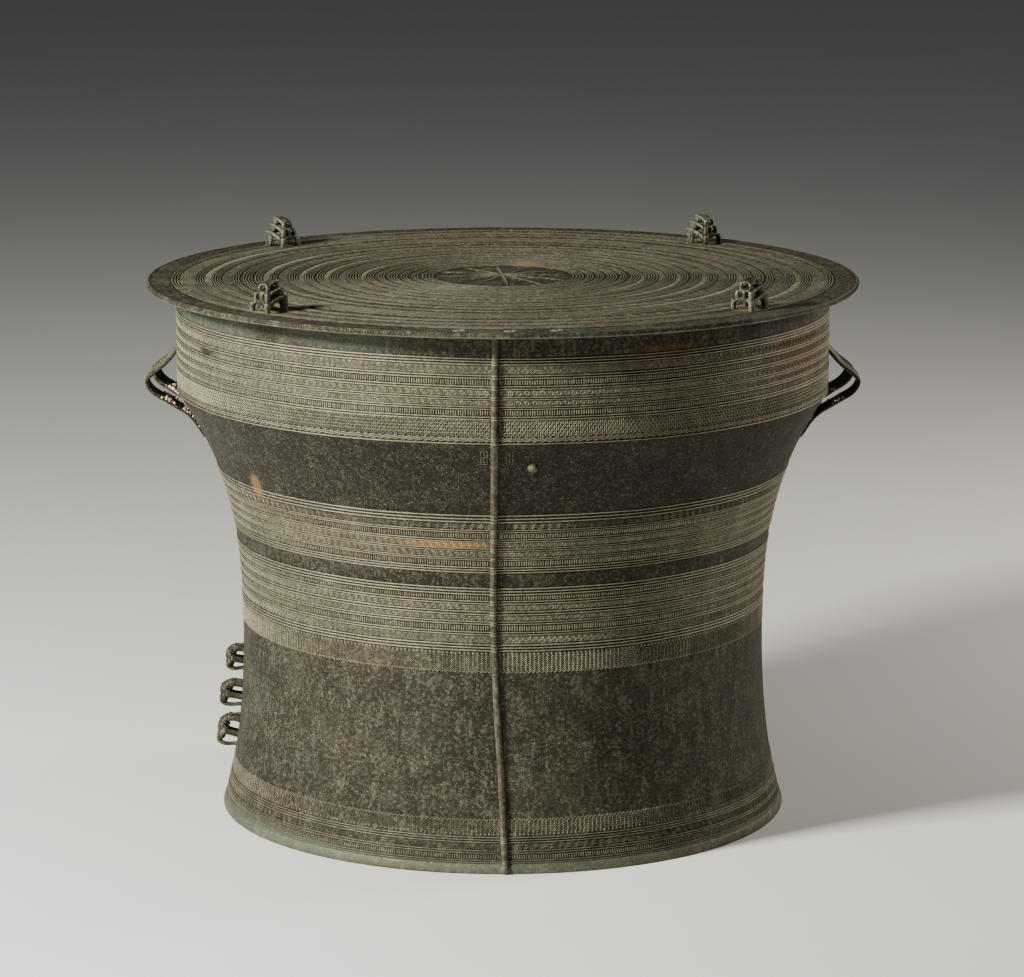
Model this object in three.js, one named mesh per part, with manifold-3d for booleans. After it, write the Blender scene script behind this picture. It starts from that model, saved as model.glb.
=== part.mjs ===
// A cast bronze kettle drum: a flat round head on a hollow waisted trunk that is open below.
// Everything on it was cast with it, so all of it is joined into one solid.
// Millimetres, +Z up. The origin is on the drum's axis, on the plane that its foot stands on.
import * as THREE from "three";
import { mergeVertices } from "three/addons/utils/BufferGeometryUtils.js";
import Module from "manifold-3d";

const wasm = await Module();
wasm.setup();

// Radii of the head and the trunk.
const headRadius = 330;
const shoulderRadius = 302.5;
const waistRadius = 244;
const footRadius = 264;

// Metal thickness of the trunk, the head, the head's overhanging edge and the foot.
const wall = 3;
const headThickness = 3;
const edgeThickness = 5;
const edgeBevel = 1.5;
const footThickness = 6;
const footBevel = 1.5;
const footBulgeHeight = 4.95;

// Zones of the trunk from the foot up. Each is a height, and they add up to the height of the head's underside.
const footRimHeight = 9;
const footBandHeight = 23;
const footTeethHeight = 17;
const lowerPlainHeight = 130;
const hangingTeethHeight = 21;
const lowerBandHeight = 58;
const middlePlainHeight = 15;
const upperBandHeight = 54;
const flarePlainHeight = 70;
const shoulderRopeHeight = 7;
const shoulderBandHeight = 64;
const collarLinesHeight = 6;
const collarPlainHeight = 20;

// How sharply the trunk flares away from its waist: 1 is a straight cone, more is a later curve.
const flarePower = 2.5;

// Raised lines around the trunk and rings on the head.
const lineWidth = 6.4;
const lineRelief = 0.9;
const ringWidth = 9;
const ringRelief = 0.8;
const narrowestFlat = 10;
const ringShares = [
  0.212, 0.247, 0.277, 0.309, 0.341, 0.374, 0.42, 0.474, 0.514,
  0.544, 0.589, 0.644, 0.688, 0.718, 0.75, 0.805, 0.853, 0.919,
];

// The star in the middle of the head.
const starRays = 12;
const starRadius = 62;
const starValleyRadius = 9;
const starTurn = 5;
const starRelief = 1.4;
const bossRadius = 5;
const bossTopRadius = 3;
const bossRelief = 2;

// The bar down the front and back of the trunk where the mould's halves met.
const seamWidth = 7;
const seamRelief = 4.2;
const seamSideRelief = 2.52;
const seamKnobRadius = 4.6;
const seamWander = [2, -1, -5, -8, -8, -7.5, -7, -6.5];

// The small casting knob beside the front seam.
const knobRadius = 4.2;
const knobAside = 26;
const knobDrop = 23;

// Strap handles: two pairs, one pair on each side of the drum.
const handlePairTurn = 3;
const handleSpacing = 10.6;
const strapWidth = 30;
const strapThickness = 3;
const strapRibs = 3;
const ribRelief = 0.9;
const handleReach = 28;
const handleTopRise = 38;
const handleTipRise = 7;
const handleFootDrop = 44;
const handleSteps = 11;

// Places along a handle as shares of its reach, and of its rise above or its drop below the tip.
const upperBends = [[0.38, 0.55], [0.84, 0.22]];
const lowerBends = [[0.8, 0.22], [0.24, 0.44]];
const landingShare = 0.55;
const landingDrop = 0.72;

// Stacks of frogs on the head, set out by hand at about the quarters, every frog smaller than the one below it.
const frogStacks = [
  { turn: 48, facing: 138 },
  { turn: 137, facing: 138 },
  { turn: 225.4, facing: 42 },
  { turn: 318.3, facing: 48.3 },
];
const frogCircleRadius = 293;
const frogTiers = [
  { length: 24, width: 24, height: 15.6 },
  { length: 19, width: 18, height: 12 },
  { length: 14, width: 12, height: 10.8 },
];

// Elephants that walk down the trunk's left side. Rise is measured from the foot to the middle.
const elephants = [
  { rise: 136, length: 24, reach: 16 },
  { rise: 101, length: 25, reach: 21 },
  { rise: 65, length: 31, reach: 19.5 },
];
const elephantWidth = 12;
const elephantHeadWidth = 8.6;
const elephantTrunkWidth = 4.3;
const elephantLegGap = 3.6;

// How deep a cast-on piece is rooted in the metal under it.
const root = 1.6;

// Facets around the drum and around a knob, and rings from a knob's bottom to its top.
const facets = 36;
const knobFacets = 7;
const knobRings = 4;

const footBandTop = footRimHeight + footBandHeight;
const waistHeight = footBandTop + footTeethHeight + lowerPlainHeight;
const lowerBandBottom = waistHeight + hangingTeethHeight;
const lowerBandTop = lowerBandBottom + lowerBandHeight;
const upperBandBottom = lowerBandTop + middlePlainHeight;
const upperBandTop = upperBandBottom + upperBandHeight;
const shoulderHeight = upperBandTop + flarePlainHeight;
const shoulderBandBottom = shoulderHeight + shoulderRopeHeight;
const collarLinesBottom = shoulderBandBottom + shoulderBandHeight;
const collarTop = collarLinesBottom + collarLinesHeight + collarPlainHeight;
const headTop = collarTop + edgeThickness;

const deg = Math.PI / 180;
const mergeDistance = 1e-4;

// Outer radius of the plain trunk: least at the waist, growing as a power of the distance from it.
function trunkRadius(z) {
  if (z >= shoulderHeight) return shoulderRadius;
  if (z >= waistHeight) {
    const share = (z - waistHeight) / (shoulderHeight - waistHeight);
    return waistRadius + (shoulderRadius - waistRadius) * share ** flarePower;
  }
  const share = (waistHeight - z) / waistHeight;
  return waistRadius + (footRadius - waistRadius) * share ** flarePower;
}

// A closed three.js geometry as a solid that can be joined and cut.
function solidOf(geometry) {
  geometry.deleteAttribute("normal");
  geometry.deleteAttribute("uv");
  const merged = mergeVertices(geometry, mergeDistance);
  const corners = merged.index.array;
  const kept = [];
  for (let i = 0; i < corners.length; i += 3) {
    const [a, b, c] = [corners[i], corners[i + 1], corners[i + 2]];
    if (a !== b && b !== c && c !== a) kept.push(a, b, c);
  }
  const mesh = new wasm.Mesh({
    numProp: 3,
    vertProperties: new Float32Array(merged.attributes.position.array),
    triVerts: new Uint32Array(kept),
  });
  return new wasm.Manifold(mesh);
}

function geometryOf(solid) {
  const mesh = solid.getMesh();
  const geometry = new THREE.BufferGeometry();
  geometry.setAttribute("position", new THREE.BufferAttribute(mesh.vertProperties, 3));
  geometry.setIndex(new THREE.BufferAttribute(mesh.triVerts, 1));
  geometry.computeVertexNormals();
  return geometry;
}

function join(solids) {
  return solids.reduce((whole, solid) => whole.add(solid));
}

// The head's top from the star to the outermost ring: three points a ring, fewer where two rings touch.
function headRings() {
  const points = [];
  for (const share of ringShares) {
    const middle = share * headRadius;
    const start = middle - ringWidth / 2;
    const last = points.at(-1);
    if (last && start - last[0] < narrowestFlat) {
      last[0] = (last[0] + start) / 2;
    } else {
      points.push([start, headTop]);
    }
    points.push([middle, headTop + ringRelief]);
    points.push([middle + ringWidth / 2, headTop]);
  }
  return points;
}

// A raised line around the trunk, as its three points from the top down.
function trunkLine(z) {
  const half = lineWidth / 2;
  return [
    [trunkRadius(z + half), z + half],
    [trunkRadius(z) + lineRelief, z],
    [trunkRadius(z - half), z - half],
  ];
}

// The trunk's outside from under the head to the foot.
function trunkOutside() {
  const half = lineWidth / 2;
  const flareSteps = 2;
  const plainSteps = 3;
  const points = [[shoulderRadius, collarTop]];
  points.push(...trunkLine(collarLinesBottom + half));
  points.push(...trunkLine(shoulderHeight + half));
  for (let i = 1; i <= flareSteps; i += 1) {
    const z = shoulderHeight - (i / (flareSteps + 1)) * flarePlainHeight;
    points.push([trunkRadius(z), z]);
  }
  points.push(...trunkLine(upperBandTop - half));
  points.push(...trunkLine(upperBandBottom + half));
  points.push(...trunkLine(lowerBandTop - half));
  points.push(...trunkLine(lowerBandBottom + half));
  points.push([waistRadius, waistHeight]);
  for (let i = 1; i < plainSteps; i += 1) {
    const z = waistHeight - (i / plainSteps) * (waistHeight - footBandTop);
    points.push([trunkRadius(z), z]);
  }
  points.push(...trunkLine(footBandTop - half));
  points.push([trunkRadius(footRimHeight), footRimHeight]);
  points.push([footRadius, footBulgeHeight]);
  points.push([footRadius - footBevel, 0]);
  return points;
}

// The trunk's inside from the foot to the head's underside, a wall's thickness in.
function trunkInside() {
  const points = [[footRadius - footThickness, 0]];
  for (const z of [footBandTop, (footBandTop + waistHeight) / 2, waistHeight, upperBandBottom]) {
    points.push([trunkRadius(z) - wall, z]);
  }
  const flareMiddle = (upperBandBottom + shoulderHeight) / 2;
  points.push([trunkRadius(flareMiddle) - wall, flareMiddle]);
  points.push([shoulderRadius - wall, shoulderHeight]);
  points.push([shoulderRadius - wall, headTop - headThickness]);
  points.push([0, headTop - headThickness]);
  return points;
}

// Head and trunk, turned on the axis.
function shell() {
  const profile = [
    [0, headTop],
    ...headRings(),
    [headRadius - edgeThickness, headTop],
    [headRadius - edgeBevel, headTop + ringRelief],
    [headRadius, headTop - edgeBevel],
    [headRadius, collarTop + edgeBevel],
    [headRadius - edgeBevel, collarTop],
    ...trunkOutside(),
    ...trunkInside(),
  ];
  const points = profile.map(([r, z]) => new THREE.Vector2(r, z)).reverse();
  const geometry = new THREE.LatheGeometry(points, facets);
  geometry.rotateX(90 * deg);
  return solidOf(geometry);
}

// A many-rayed star with a boss in its middle, low on the head.
function star() {
  const outline = new THREE.Shape();
  for (let i = 0; i < starRays * 2; i += 1) {
    const radius = i % 2 === 0 ? starRadius : starValleyRadius;
    const angle = (starTurn + (i * 180) / starRays) * deg;
    const point = [radius * Math.cos(angle), radius * Math.sin(angle)];
    if (i === 0) outline.moveTo(...point);
    else outline.lineTo(...point);
  }
  const rays = new THREE.ExtrudeGeometry(outline, { depth: root + starRelief, bevelEnabled: false });
  rays.translate(0, 0, headTop - root);
  const boss = new THREE.CylinderGeometry(bossTopRadius, bossRadius, root + bossRelief, starRays);
  boss.rotateX(90 * deg);
  boss.translate(0, 0, headTop + (bossRelief - root) / 2);
  return join([solidOf(rays), solidOf(boss)]);
}

// A route whose sections keep one fixed direction across it, so that a bar or strap never twists.
class FlatRoute extends THREE.CatmullRomCurve3 {
  constructor(points, across) {
    super(points);
    this.across = across;
  }

  computeFrenetFrames(steps) {
    const frames = { tangents: [], normals: [], binormals: [] };
    for (let i = 0; i <= steps; i += 1) {
      const tangent = this.getTangentAt(i / steps);
      frames.tangents.push(tangent);
      frames.normals.push(new THREE.Vector3().crossVectors(this.across, tangent).normalize());
      frames.binormals.push(this.across.clone());
    }
    return frames;
  }
}

// A section carried along a route. Its points are [outward, across].
function sweep(section, route, across, steps) {
  const shape = new THREE.Shape(section.map(([out, side]) => new THREE.Vector2(out, side)));
  const extrudePath = new FlatRoute(route, across);
  return solidOf(new THREE.ExtrudeGeometry(shape, { steps, extrudePath, bevelEnabled: false }));
}

// A slab with the outline [x, z], centred on the plane y = 0.
function slab(outline, thickness) {
  const shape = new THREE.Shape(outline.map(([x, z]) => new THREE.Vector2(x, z)));
  const geometry = new THREE.ExtrudeGeometry(shape, { depth: thickness, bevelEnabled: false });
  geometry.translate(0, 0, -thickness / 2);
  geometry.rotateX(90 * deg);
  return solidOf(geometry);
}

// A seam bar from the foot to the head's underside, and the knob it ends in. Turn 0 is the front.
function seam(turn) {
  const half = seamWidth / 2;
  const last = seamWander.length - 1;
  const low = seamKnobRadius;
  const routeSteps = 18;
  const wander = new THREE.SplineCurve(seamWander.map((aside, i) => new THREE.Vector2(i / last, aside)));
  const route = [];
  for (let i = 0; i <= routeSteps; i += 1) {
    const z = low + (i / routeSteps) * (collarTop + root - low);
    route.push(new THREE.Vector3(wander.getPoint(i / routeSteps).y, -trunkRadius(z), z));
  }
  const section = [
    [-root, -half],
    [seamSideRelief, -half],
    [seamRelief, 0],
    [seamSideRelief, half],
    [-root, half],
  ];
  const bar = sweep(section, route, new THREE.Vector3(1, 0, 0), routeSteps);
  const knob = new THREE.SphereGeometry(seamKnobRadius, knobFacets, knobRings);
  knob.translate(route[0].x, route[0].y, low);
  return bar.add(solidOf(knob)).rotate([0, 0, turn]);
}

// The small round knob on the plain flare, beside the front seam.
function castingKnob() {
  const z = shoulderHeight - knobDrop;
  const ball = new THREE.SphereGeometry(knobRadius, knobFacets, knobRings);
  ball.translate(knobAside, -trunkRadius(z), z);
  return solidOf(ball);
}

// One strap handle: out from the shoulder, round its tip, and back down to the flare.
function handle(turn) {
  const foot = shoulderHeight - handleFootDrop;
  const tip = shoulderHeight + handleTipRise;
  const rise = handleTopRise - handleTipRise;
  const bend = (share, z) => [shoulderRadius + handleReach * share, z];
  const landing = trunkRadius(shoulderHeight - handleFootDrop * landingShare) + strapThickness;
  const routeRZ = [
    [shoulderRadius - root, shoulderHeight + handleTopRise],
    ...upperBends.map(([share, up]) => bend(share, tip + rise * up)),
    bend(1, tip),
    ...lowerBends.map(([share, down]) => bend(share, tip - handleFootDrop * down)),
    [landing, tip - handleFootDrop * landingDrop],
    [trunkRadius(foot) - root / 2, foot],
  ];
  const route = routeRZ.map(([r, z]) => new THREE.Vector3(r, 0, z));
  const section = [[-strapThickness / 2, -strapWidth / 2]];
  for (let i = 0; i < strapRibs; i += 1) {
    section.push([strapThickness / 2, (i / strapRibs - 0.5) * strapWidth]);
    section.push([strapThickness / 2 + ribRelief, ((i + 0.5) / strapRibs - 0.5) * strapWidth]);
  }
  section.push([strapThickness / 2, strapWidth / 2]);
  section.push([-strapThickness / 2, strapWidth / 2]);
  return sweep(section, route, new THREE.Vector3(0, -1, 0), handleSteps).rotate([0, 0, turn]);
}

// Both pairs of handles. Each pair sits a little behind the drum's side.
function handles() {
  const all = [];
  for (const side of [-1, 1]) {
    for (const offset of [-0.5, 0.5]) {
      const turn = handlePairTurn + offset * handleSpacing;
      all.push(handle(side > 0 ? turn : 180 - turn));
    }
  }
  return join(all);
}

// One frog standing at the origin and facing +X: four legs, a back that rises to a high head, a snout.
function frog({ length, width, height }) {
  const side = [
    [-0.5, 0], [-0.34, 0], [-0.31, 0.44], [0.15, 0.45], [0.2, 0], [0.42, 0], [0.45, 0.58],
    [0.66, 0.88], [0.4, 1], [0.16, 0.72], [-0.4, 0.63], [-0.5, 0.46],
  ];
  const front = [[-0.5, 0], [0.5, 0], [0.44, 0.6], [0.18, 1], [-0.18, 1], [-0.44, 0.6]];
  const arch = [[-0.3, -0.3], [0.3, -0.3], [0, 0.6]];
  const pastBothEnds = 1.6;
  const frontArchPlace = 0.63;
  const hindArchPlace = -0.8;
  const hindArchSink = 0.18;
  const scaled = (points, across) => points.map(([a, b]) => [a * across, b === 0 ? -root : b * height]);
  const facing = (outline, thickness) => slab(outline, thickness).rotate([0, 0, 90]);
  const seenFromFront = facing(scaled(front, width), length * pastBothEnds);
  const body = slab(scaled(side, length), width).intersect(seenFromFront);
  const opening = facing(scaled(arch, width), length);
  const frontArch = opening.translate([frontArchPlace * length, 0, 0]);
  const hindArch = opening.translate([hindArchPlace * length, 0, -hindArchSink * height]);
  return body.subtract(frontArch).subtract(hindArch);
}

// A stack of frogs, each on the back of the one below.
function frogStack() {
  const backShare = 0.65;
  const all = [];
  let base = 0;
  for (const tier of frogTiers) {
    all.push(frog(tier).translate([0, 0, base]));
    base += tier.height * backShare;
  }
  return join(all);
}

// The stacks around the head, each turned its own way.
function frogs() {
  const stack = frogStack();
  const all = frogStacks.map(({ turn, facing }) => {
    const x = frogCircleRadius * Math.cos(turn * deg);
    const y = frogCircleRadius * Math.sin(turn * deg);
    return stack.rotate([0, 0, facing]).translate([x, y, headTop]);
  });
  return join(all);
}

// One elephant on the plane x = 0, walking down -Z with its back outward along +X.
function elephant(length, reach) {
  const body = [
    [0, 0.5], [0.2, 0.48], [0.52, 0.39], [0.76, 0.2], [0.84, -0.02], [0.78, -0.16], [0.44, -0.2],
    [0, -0.16], [0, -0.01], [0.34, 0.02], [0.4, 0.12], [0, 0.23],
  ];
  const headOutline = [[0.62, 0.08], [0.84, 0.06], [1, -0.12], [0.98, -0.28], [0.82, -0.38], [0.56, -0.22]];
  const trunkOutline = [
    [0.7, -0.2], [0.96, -0.26], [0.84, -0.43], [0.55, -0.5],
    [0, -0.48], [0, -0.38], [0.5, -0.39], [0.68, -0.32],
  ];
  const scaled = (points) => points.map(([out, up]) => [out === 0 ? -root : out * reach, up * length]);
  const legs = [[-2, -0.21], [0.27, -0.21], [0.27, 0.6], [-2, 0.6]];
  const gap = slab(legs.map(([out, up]) => [out * reach, up * length]), elephantLegGap);
  return slab(scaled(body), elephantWidth)
    .subtract(gap)
    .add(slab(scaled(headOutline), elephantHeadWidth))
    .add(slab(scaled(trunkOutline), elephantTrunkWidth));
}

// The elephants one below another, standing square on the trunk's curve.
function elephantRow() {
  const all = elephants.map(({ rise, length, reach }) => {
    const spread = trunkRadius(rise - length / 2) - trunkRadius(rise + length / 2);
    const lean = Math.atan2(spread, length) / deg;
    const turned = elephant(length, reach).rotate([0, -lean, 0]);
    return turned.translate([trunkRadius(rise), 0, rise]).rotate([0, 0, 180]);
  });
  return join(all);
}

const drum = new THREE.Group();
const bronze = new THREE.MeshStandardMaterial({ color: 0x6b6657, roughness: 0.62, metalness: 0.75 });
const pieces = [shell(), star(), seam(0), seam(180), castingKnob(), handles(), frogs(), elephantRow()];
const mesh = new THREE.Mesh(geometryOf(join(pieces)), bronze);
mesh.name = "drum";
drum.add(mesh);

export default drum;
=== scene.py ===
"""A cast bronze kettle drum: its relief, fittings and patina, around its packed solid.

Lengths are metres. The drum stands on z = 0 with its axis on Z, its front seam on -Y and its elephants on -X.
An azimuth is an angle round the axis, anticlockwise from +X. A level is a height on the trunk and a radius on
the head. Out is the distance that a point stands above the plain metal.
"""

import math
from collections import namedtuple
from functools import partial

import bpy
import numpy as np
from bpy.props import FloatProperty, FloatVectorProperty, IntProperty, PointerProperty
from bpy.types import Operator, Panel, PropertyGroup
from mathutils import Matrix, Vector


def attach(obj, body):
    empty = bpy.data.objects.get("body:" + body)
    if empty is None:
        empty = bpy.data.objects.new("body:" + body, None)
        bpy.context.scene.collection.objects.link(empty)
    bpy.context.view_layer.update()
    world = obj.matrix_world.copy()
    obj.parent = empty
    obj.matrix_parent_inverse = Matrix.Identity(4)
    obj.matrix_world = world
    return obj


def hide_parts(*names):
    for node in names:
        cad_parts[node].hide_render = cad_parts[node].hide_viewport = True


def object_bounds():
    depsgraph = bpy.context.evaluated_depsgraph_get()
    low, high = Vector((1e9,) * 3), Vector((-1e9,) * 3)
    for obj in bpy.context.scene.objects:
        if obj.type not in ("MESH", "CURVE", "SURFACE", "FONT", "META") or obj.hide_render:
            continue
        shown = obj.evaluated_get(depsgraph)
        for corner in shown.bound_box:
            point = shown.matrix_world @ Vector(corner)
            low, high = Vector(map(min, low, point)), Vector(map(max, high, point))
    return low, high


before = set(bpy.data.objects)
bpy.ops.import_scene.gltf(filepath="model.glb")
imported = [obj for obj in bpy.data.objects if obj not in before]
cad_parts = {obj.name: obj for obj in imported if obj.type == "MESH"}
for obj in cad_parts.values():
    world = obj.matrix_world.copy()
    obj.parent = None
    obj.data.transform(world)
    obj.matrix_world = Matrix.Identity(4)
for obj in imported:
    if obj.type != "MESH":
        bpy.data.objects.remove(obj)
CAD_LOW, CAD_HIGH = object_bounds()

bl_info = {
    "name": "Bronze Kettle Drum",
    "version": (1, 0, 0),
    "blender": (4, 5, 0),
    "location": "View3D > Sidebar > Drum",
    "description": "Builds the relief, fittings and patina of a cast bronze kettle drum",
    "category": "Object",
}

MM = 0.001
FULL_TURN = 2 * math.pi
FRONT = -math.pi / 2
BACK = math.pi / 2
SEED = 7

# Bands from the top of each zone down, as kind, height in millimetres and count of raised lines.
SHOULDER_TOP = 0.4742
SHOULDER_BANDS = (
    ("lines", 7.5, 3),
    ("lozenges", 7.4, 0),
    ("lines", 4.7, 2),
    ("comb", 4.9, 0),
    ("lines", 4.5, 2),
    ("circles", 5.2, 0),
    ("lines", 3.9, 2),
    ("circles", 4.5, 0),
    ("lines", 4.0, 2),
    ("comb", 4.9, 0),
    ("lines", 4.4, 2),
    ("lattice", 14.0, 0),
    ("rope", 5.4, 0),
    ("lines", 1.9, 1),
)
UPPER_WAIST_TOP = 0.3284
UPPER_WAIST_BANDS = (
    ("lines", 9.2, 3),
    ("waves", 5.3, 0),
    ("lines", 3.8, 2),
    ("comb", 5.1, 0),
    ("lines", 4.0, 2),
    ("circles", 4.6, 0),
    ("lines", 3.9, 2),
    ("circles", 5.0, 0),
    ("lines", 3.5, 2),
    ("comb", 5.2, 0),
    ("lines", 7.0, 3),
)
LOWER_WAIST_TOP = 0.2592
LOWER_WAIST_BANDS = (
    ("lines", 8.1, 3),
    ("comb", 3.9, 0),
    ("lines", 4.6, 2),
    ("circles", 5.1, 0),
    ("lines", 5.0, 2),
    ("circles", 4.4, 0),
    ("lines", 4.3, 2),
    ("comb", 5.4, 0),
    ("lines", 4.4, 2),
    ("lozenges", 7.0, 0),
    ("lines", 8.0, 3),
    ("hanging", 20.0, 0),
)
FOOT_TOP = 0.0492
FOOT_BANDS = (
    ("rising", 15.9, 0),
    ("lines", 6.4, 3),
    ("waves", 5.4, 0),
    ("lines", 3.9, 2),
    ("comb", 4.7, 0),
    ("lines", 3.7, 2),
)

# Bands of the head from its edge inward, in the same form. A gap is plain and a touch sunk.
HEAD_TOP_RADIUS = 0.307
HEAD_BANDS = (
    ("lines", 7.4, 3),
    ("lattice", 13.6, 0),
    ("lines", 9.0, 4),
    ("comb", 7.0, 0),
    ("lines", 9.0, 4),
    ("circles", 10.0, 0),
    ("lines", 7.0, 3),
    ("gap", 2.0, 0),
    ("lines", 10.0, 4),
    ("gap", 1.0, 0),
    ("lines", 8.0, 3),
    ("comb", 7.0, 0),
    ("lines", 7.0, 3),
    ("circles", 10.0, 0),
    ("lines", 9.0, 4),
    ("comb", 6.0, 0),
    ("lines", 9.0, 4),
    ("gap", 2.0, 0),
    ("lines", 7.0, 3),
    ("comb", 5.0, 0),
    ("lines", 9.0, 4),
    ("waves", 7.0, 0),
    ("lines", 13.0, 5),
    ("comb", 4.0, 0),
    ("lines", 9.0, 4),
    ("gap", 3.0, 0),
    ("lines", 7.0, 3),
    ("gap", 2.0, 0),
    ("lines", 10.0, 4),
    ("gap", 2.0, 0),
    ("lines", 7.0, 3),
    ("gap", 3.0, 0),
    ("lines", 7.0, 3),
    ("gap", 2.0, 0),
    ("lines", 12.0, 4),
)

# Wear of the flat field under each kind of stamp, of a stamp's top and of its foot.
FIELD_WEAR = {
    "comb": -0.25,
    "circles": 0.4,
    "lozenges": 0.3,
    "lattice": -1.0,
    "waves": -0.05,
    "rope": -0.9,
    "hanging": -0.1,
    "rising": -0.1,
    "gap": -0.4,
}
TOP_WEAR = 0.78
FOOT_WEAR = -0.1

# Zones of the trunk: the name and top of each, its bands, the wear of the plain metal above it, and the share
# that its bands keep of their wear. The first row's plain metal is the collar, whose low wear is painted
# shadow of the head's edge. The second's is the flare, whose low wear is partly its dark patina and partly
# painted shade on metal that faces down. The foot's bands keep less of their wear, which paints the foot
# darker as painted shade.
ZONES = (
    ("shoulder_bands", SHOULDER_TOP, SHOULDER_BANDS, -0.12, 1.0),
    ("upper_waist_bands", UPPER_WAIST_TOP, UPPER_WAIST_BANDS, -0.88, 1.0),
    ("lower_waist_bands", LOWER_WAIST_TOP, LOWER_WAIST_BANDS, -0.5, 1.0),
    ("foot_bands", FOOT_TOP, FOOT_BANDS, -0.3, 0.6),
)

# How deep the base of a stamp lies in the metal, and the base of a ring.
SUNK = 0.3 * MM
RING_SUNK = 0.1 * MM

# Azimuth and facing of each stack of frogs in degrees, and length, width and height of each frog in mm.
FROG_STACKS = ((48.0, 138.0), (137.0, 138.0), (225.4, 42.0), (318.3, 48.3))
FROG_TIERS = ((24, 24, 15.6), (19, 18, 12), (14, 12, 10.8))

# Height of a frog's seat, as a share of the height of the frog below it.
FROG_SEAT = 0.65

# Size of the cells in which the frogs and the elephants become one skin.
FROG_CELL = 0.72 * MM
ELEPHANT_CELL = 0.6 * MM

Surface = namedtuple("Surface", "radius point handed")
Shape = namedtuple("Shape", "points faces wear")


def length(name, value, description):
    """A length in metres that a user can change."""
    settings = {"name": name, "description": description, "default": value}
    return FloatProperty(**settings, min=0.0, precision=4, unit="LENGTH")


def number(name, value, description, low=0.0):
    """A plain number that a user can change."""
    return FloatProperty(name=name, description=description, default=value, min=low)


def angle(name, degrees, description):
    """An angle that a user can change, given in degrees and kept in radians."""
    return FloatProperty(name=name, description=description, default=math.radians(degrees), subtype="ANGLE")


def colour(name, value, description):
    """A scene-linear colour that a user can change."""
    return FloatVectorProperty(
        name=name, description=description, default=value, size=3, min=0.0, max=1.0, subtype="COLOR"
    )


class DrumForm(PropertyGroup):
    """Sizes of the head and the trunk."""

    head_radius: length("Head radius", CAD_HIGH.y, "Radius of the flat head")
    shoulder_radius: length("Shoulder radius", 0.3025, "Outer radius of the straight part under the head")
    waist_radius: length("Waist radius", 0.244, "Outer radius at the waist")
    foot_radius: length("Foot radius", 0.264, "Outer radius at the foot")
    wall: length("Wall", 0.003, "Thickness of the trunk's metal")
    foot_wall: length("Foot wall", 0.006, "Thickness of the metal at the foot")
    head_plate: length("Head plate", 0.003, "Thickness of the head inside the trunk")
    head_edge: length("Head edge", 0.005, "Thickness of the overhanging edge")
    waist_height: length("Waist height", 0.179, "Height of the narrowest place")
    shoulder_height: length("Shoulder height", 0.397, "Height where the flare ends")
    collar_top: length("Collar top", 0.494, "Height of the head's underside")
    foot_rim: length("Foot rim", 0.0092, "Height of the plain rounded rim at the foot")
    flare_power: number("Flare power", 2.5, "How late the trunk flares", 1.0)
    sway: length("Sway", 0.0003, "How far the hand-laid bands wander up and down")
    columns: IntProperty(name="Columns", description="Facets around the drum", default=150, min=24)


class DrumRelief(PropertyGroup):
    """Sizes of the raised lines and the stamped bands."""

    line_width: length("Line width", 0.0017, "Width of a raised line")
    line_relief: length("Line relief", 0.00075, "Height of a raised line")
    stamp_relief: length("Stamp relief", 0.00042, "Height of a stamped stroke")
    head_stamp: length("Head stamp", 0.0002, "Height of a stamped stroke on the head")
    comb_pitch: length("Comb pitch", 0.00215, "Distance between the strokes of a comb band")
    circle_pitch: length("Circle pitch", 0.0070, "Distance between the circles of a band")
    lozenge_pitch: length("Lozenge pitch", 0.0056, "Distance between the lozenges of a band")
    lattice_pitch: length("Lattice pitch", 0.0039, "Distance between the pits of a lattice")
    tooth_pitch: length("Tooth pitch", 0.0039, "Width of one chevron of the tooth bands")
    wave_pitch: length("Wave pitch", 0.0077, "Length of one wave of the hatched zigzags")
    rope_pitch: length("Rope pitch", 0.0068, "Distance between the strokes of the rope under the shoulder")
    rope_lean: angle("Rope lean", -77.0, "Turn of the rope's strokes from upright")
    star_radius: length("Star radius", 0.062, "Reach of the star's rays")
    star_relief: length("Star relief", 0.0022, "Height of the star's rays at their root")
    star_rays: IntProperty(name="Star rays", description="Number of rays", default=12, min=3)
    star_turn: angle("Star turn", 5.0, "Azimuth of the first ray")


class DrumFittings(PropertyGroup):
    """Sizes of the seams, handles, frogs and elephants."""

    seam_width: length("Seam width", 0.007, "Width of a seam bar")
    seam_relief: length("Seam relief", 0.0042, "Height of a seam bar")
    knob_radius: length("Knob radius", 0.0046, "Radius of the knob at a seam's foot")
    casting_knob: length("Casting knob", 0.0042, "Radius of the knob beside the front seam")
    strap_width: length("Strap width", 0.030, "Width of a strap handle")
    strap_thickness: length("Strap thickness", 0.003, "Thickness of a strap handle")
    rib_relief: length("Rib relief", 0.0012, "Height of the plaited ribs on a strap")
    rib_pitch: length("Rib pitch", 0.0034, "Length of one plait along a rib")
    handle_reach: length("Handle reach", 0.0276, "How far a handle stands out from the shoulder")
    handle_spacing: angle("Handle spacing", 10.6, "Angle between the two straps of a pair")
    pair_turn: angle("Pair turn", 3.0, "How far each pair sits behind the drum's side")
    frog_circle: length("Frog circle", 0.293, "Radius of the circle on which the frogs stand")
    elephant_width: length("Elephant width", 0.012, "Width of an elephant across its back")
    root: length("Root", 0.0016, "How deep a cast-on piece is rooted in the metal")


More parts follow.
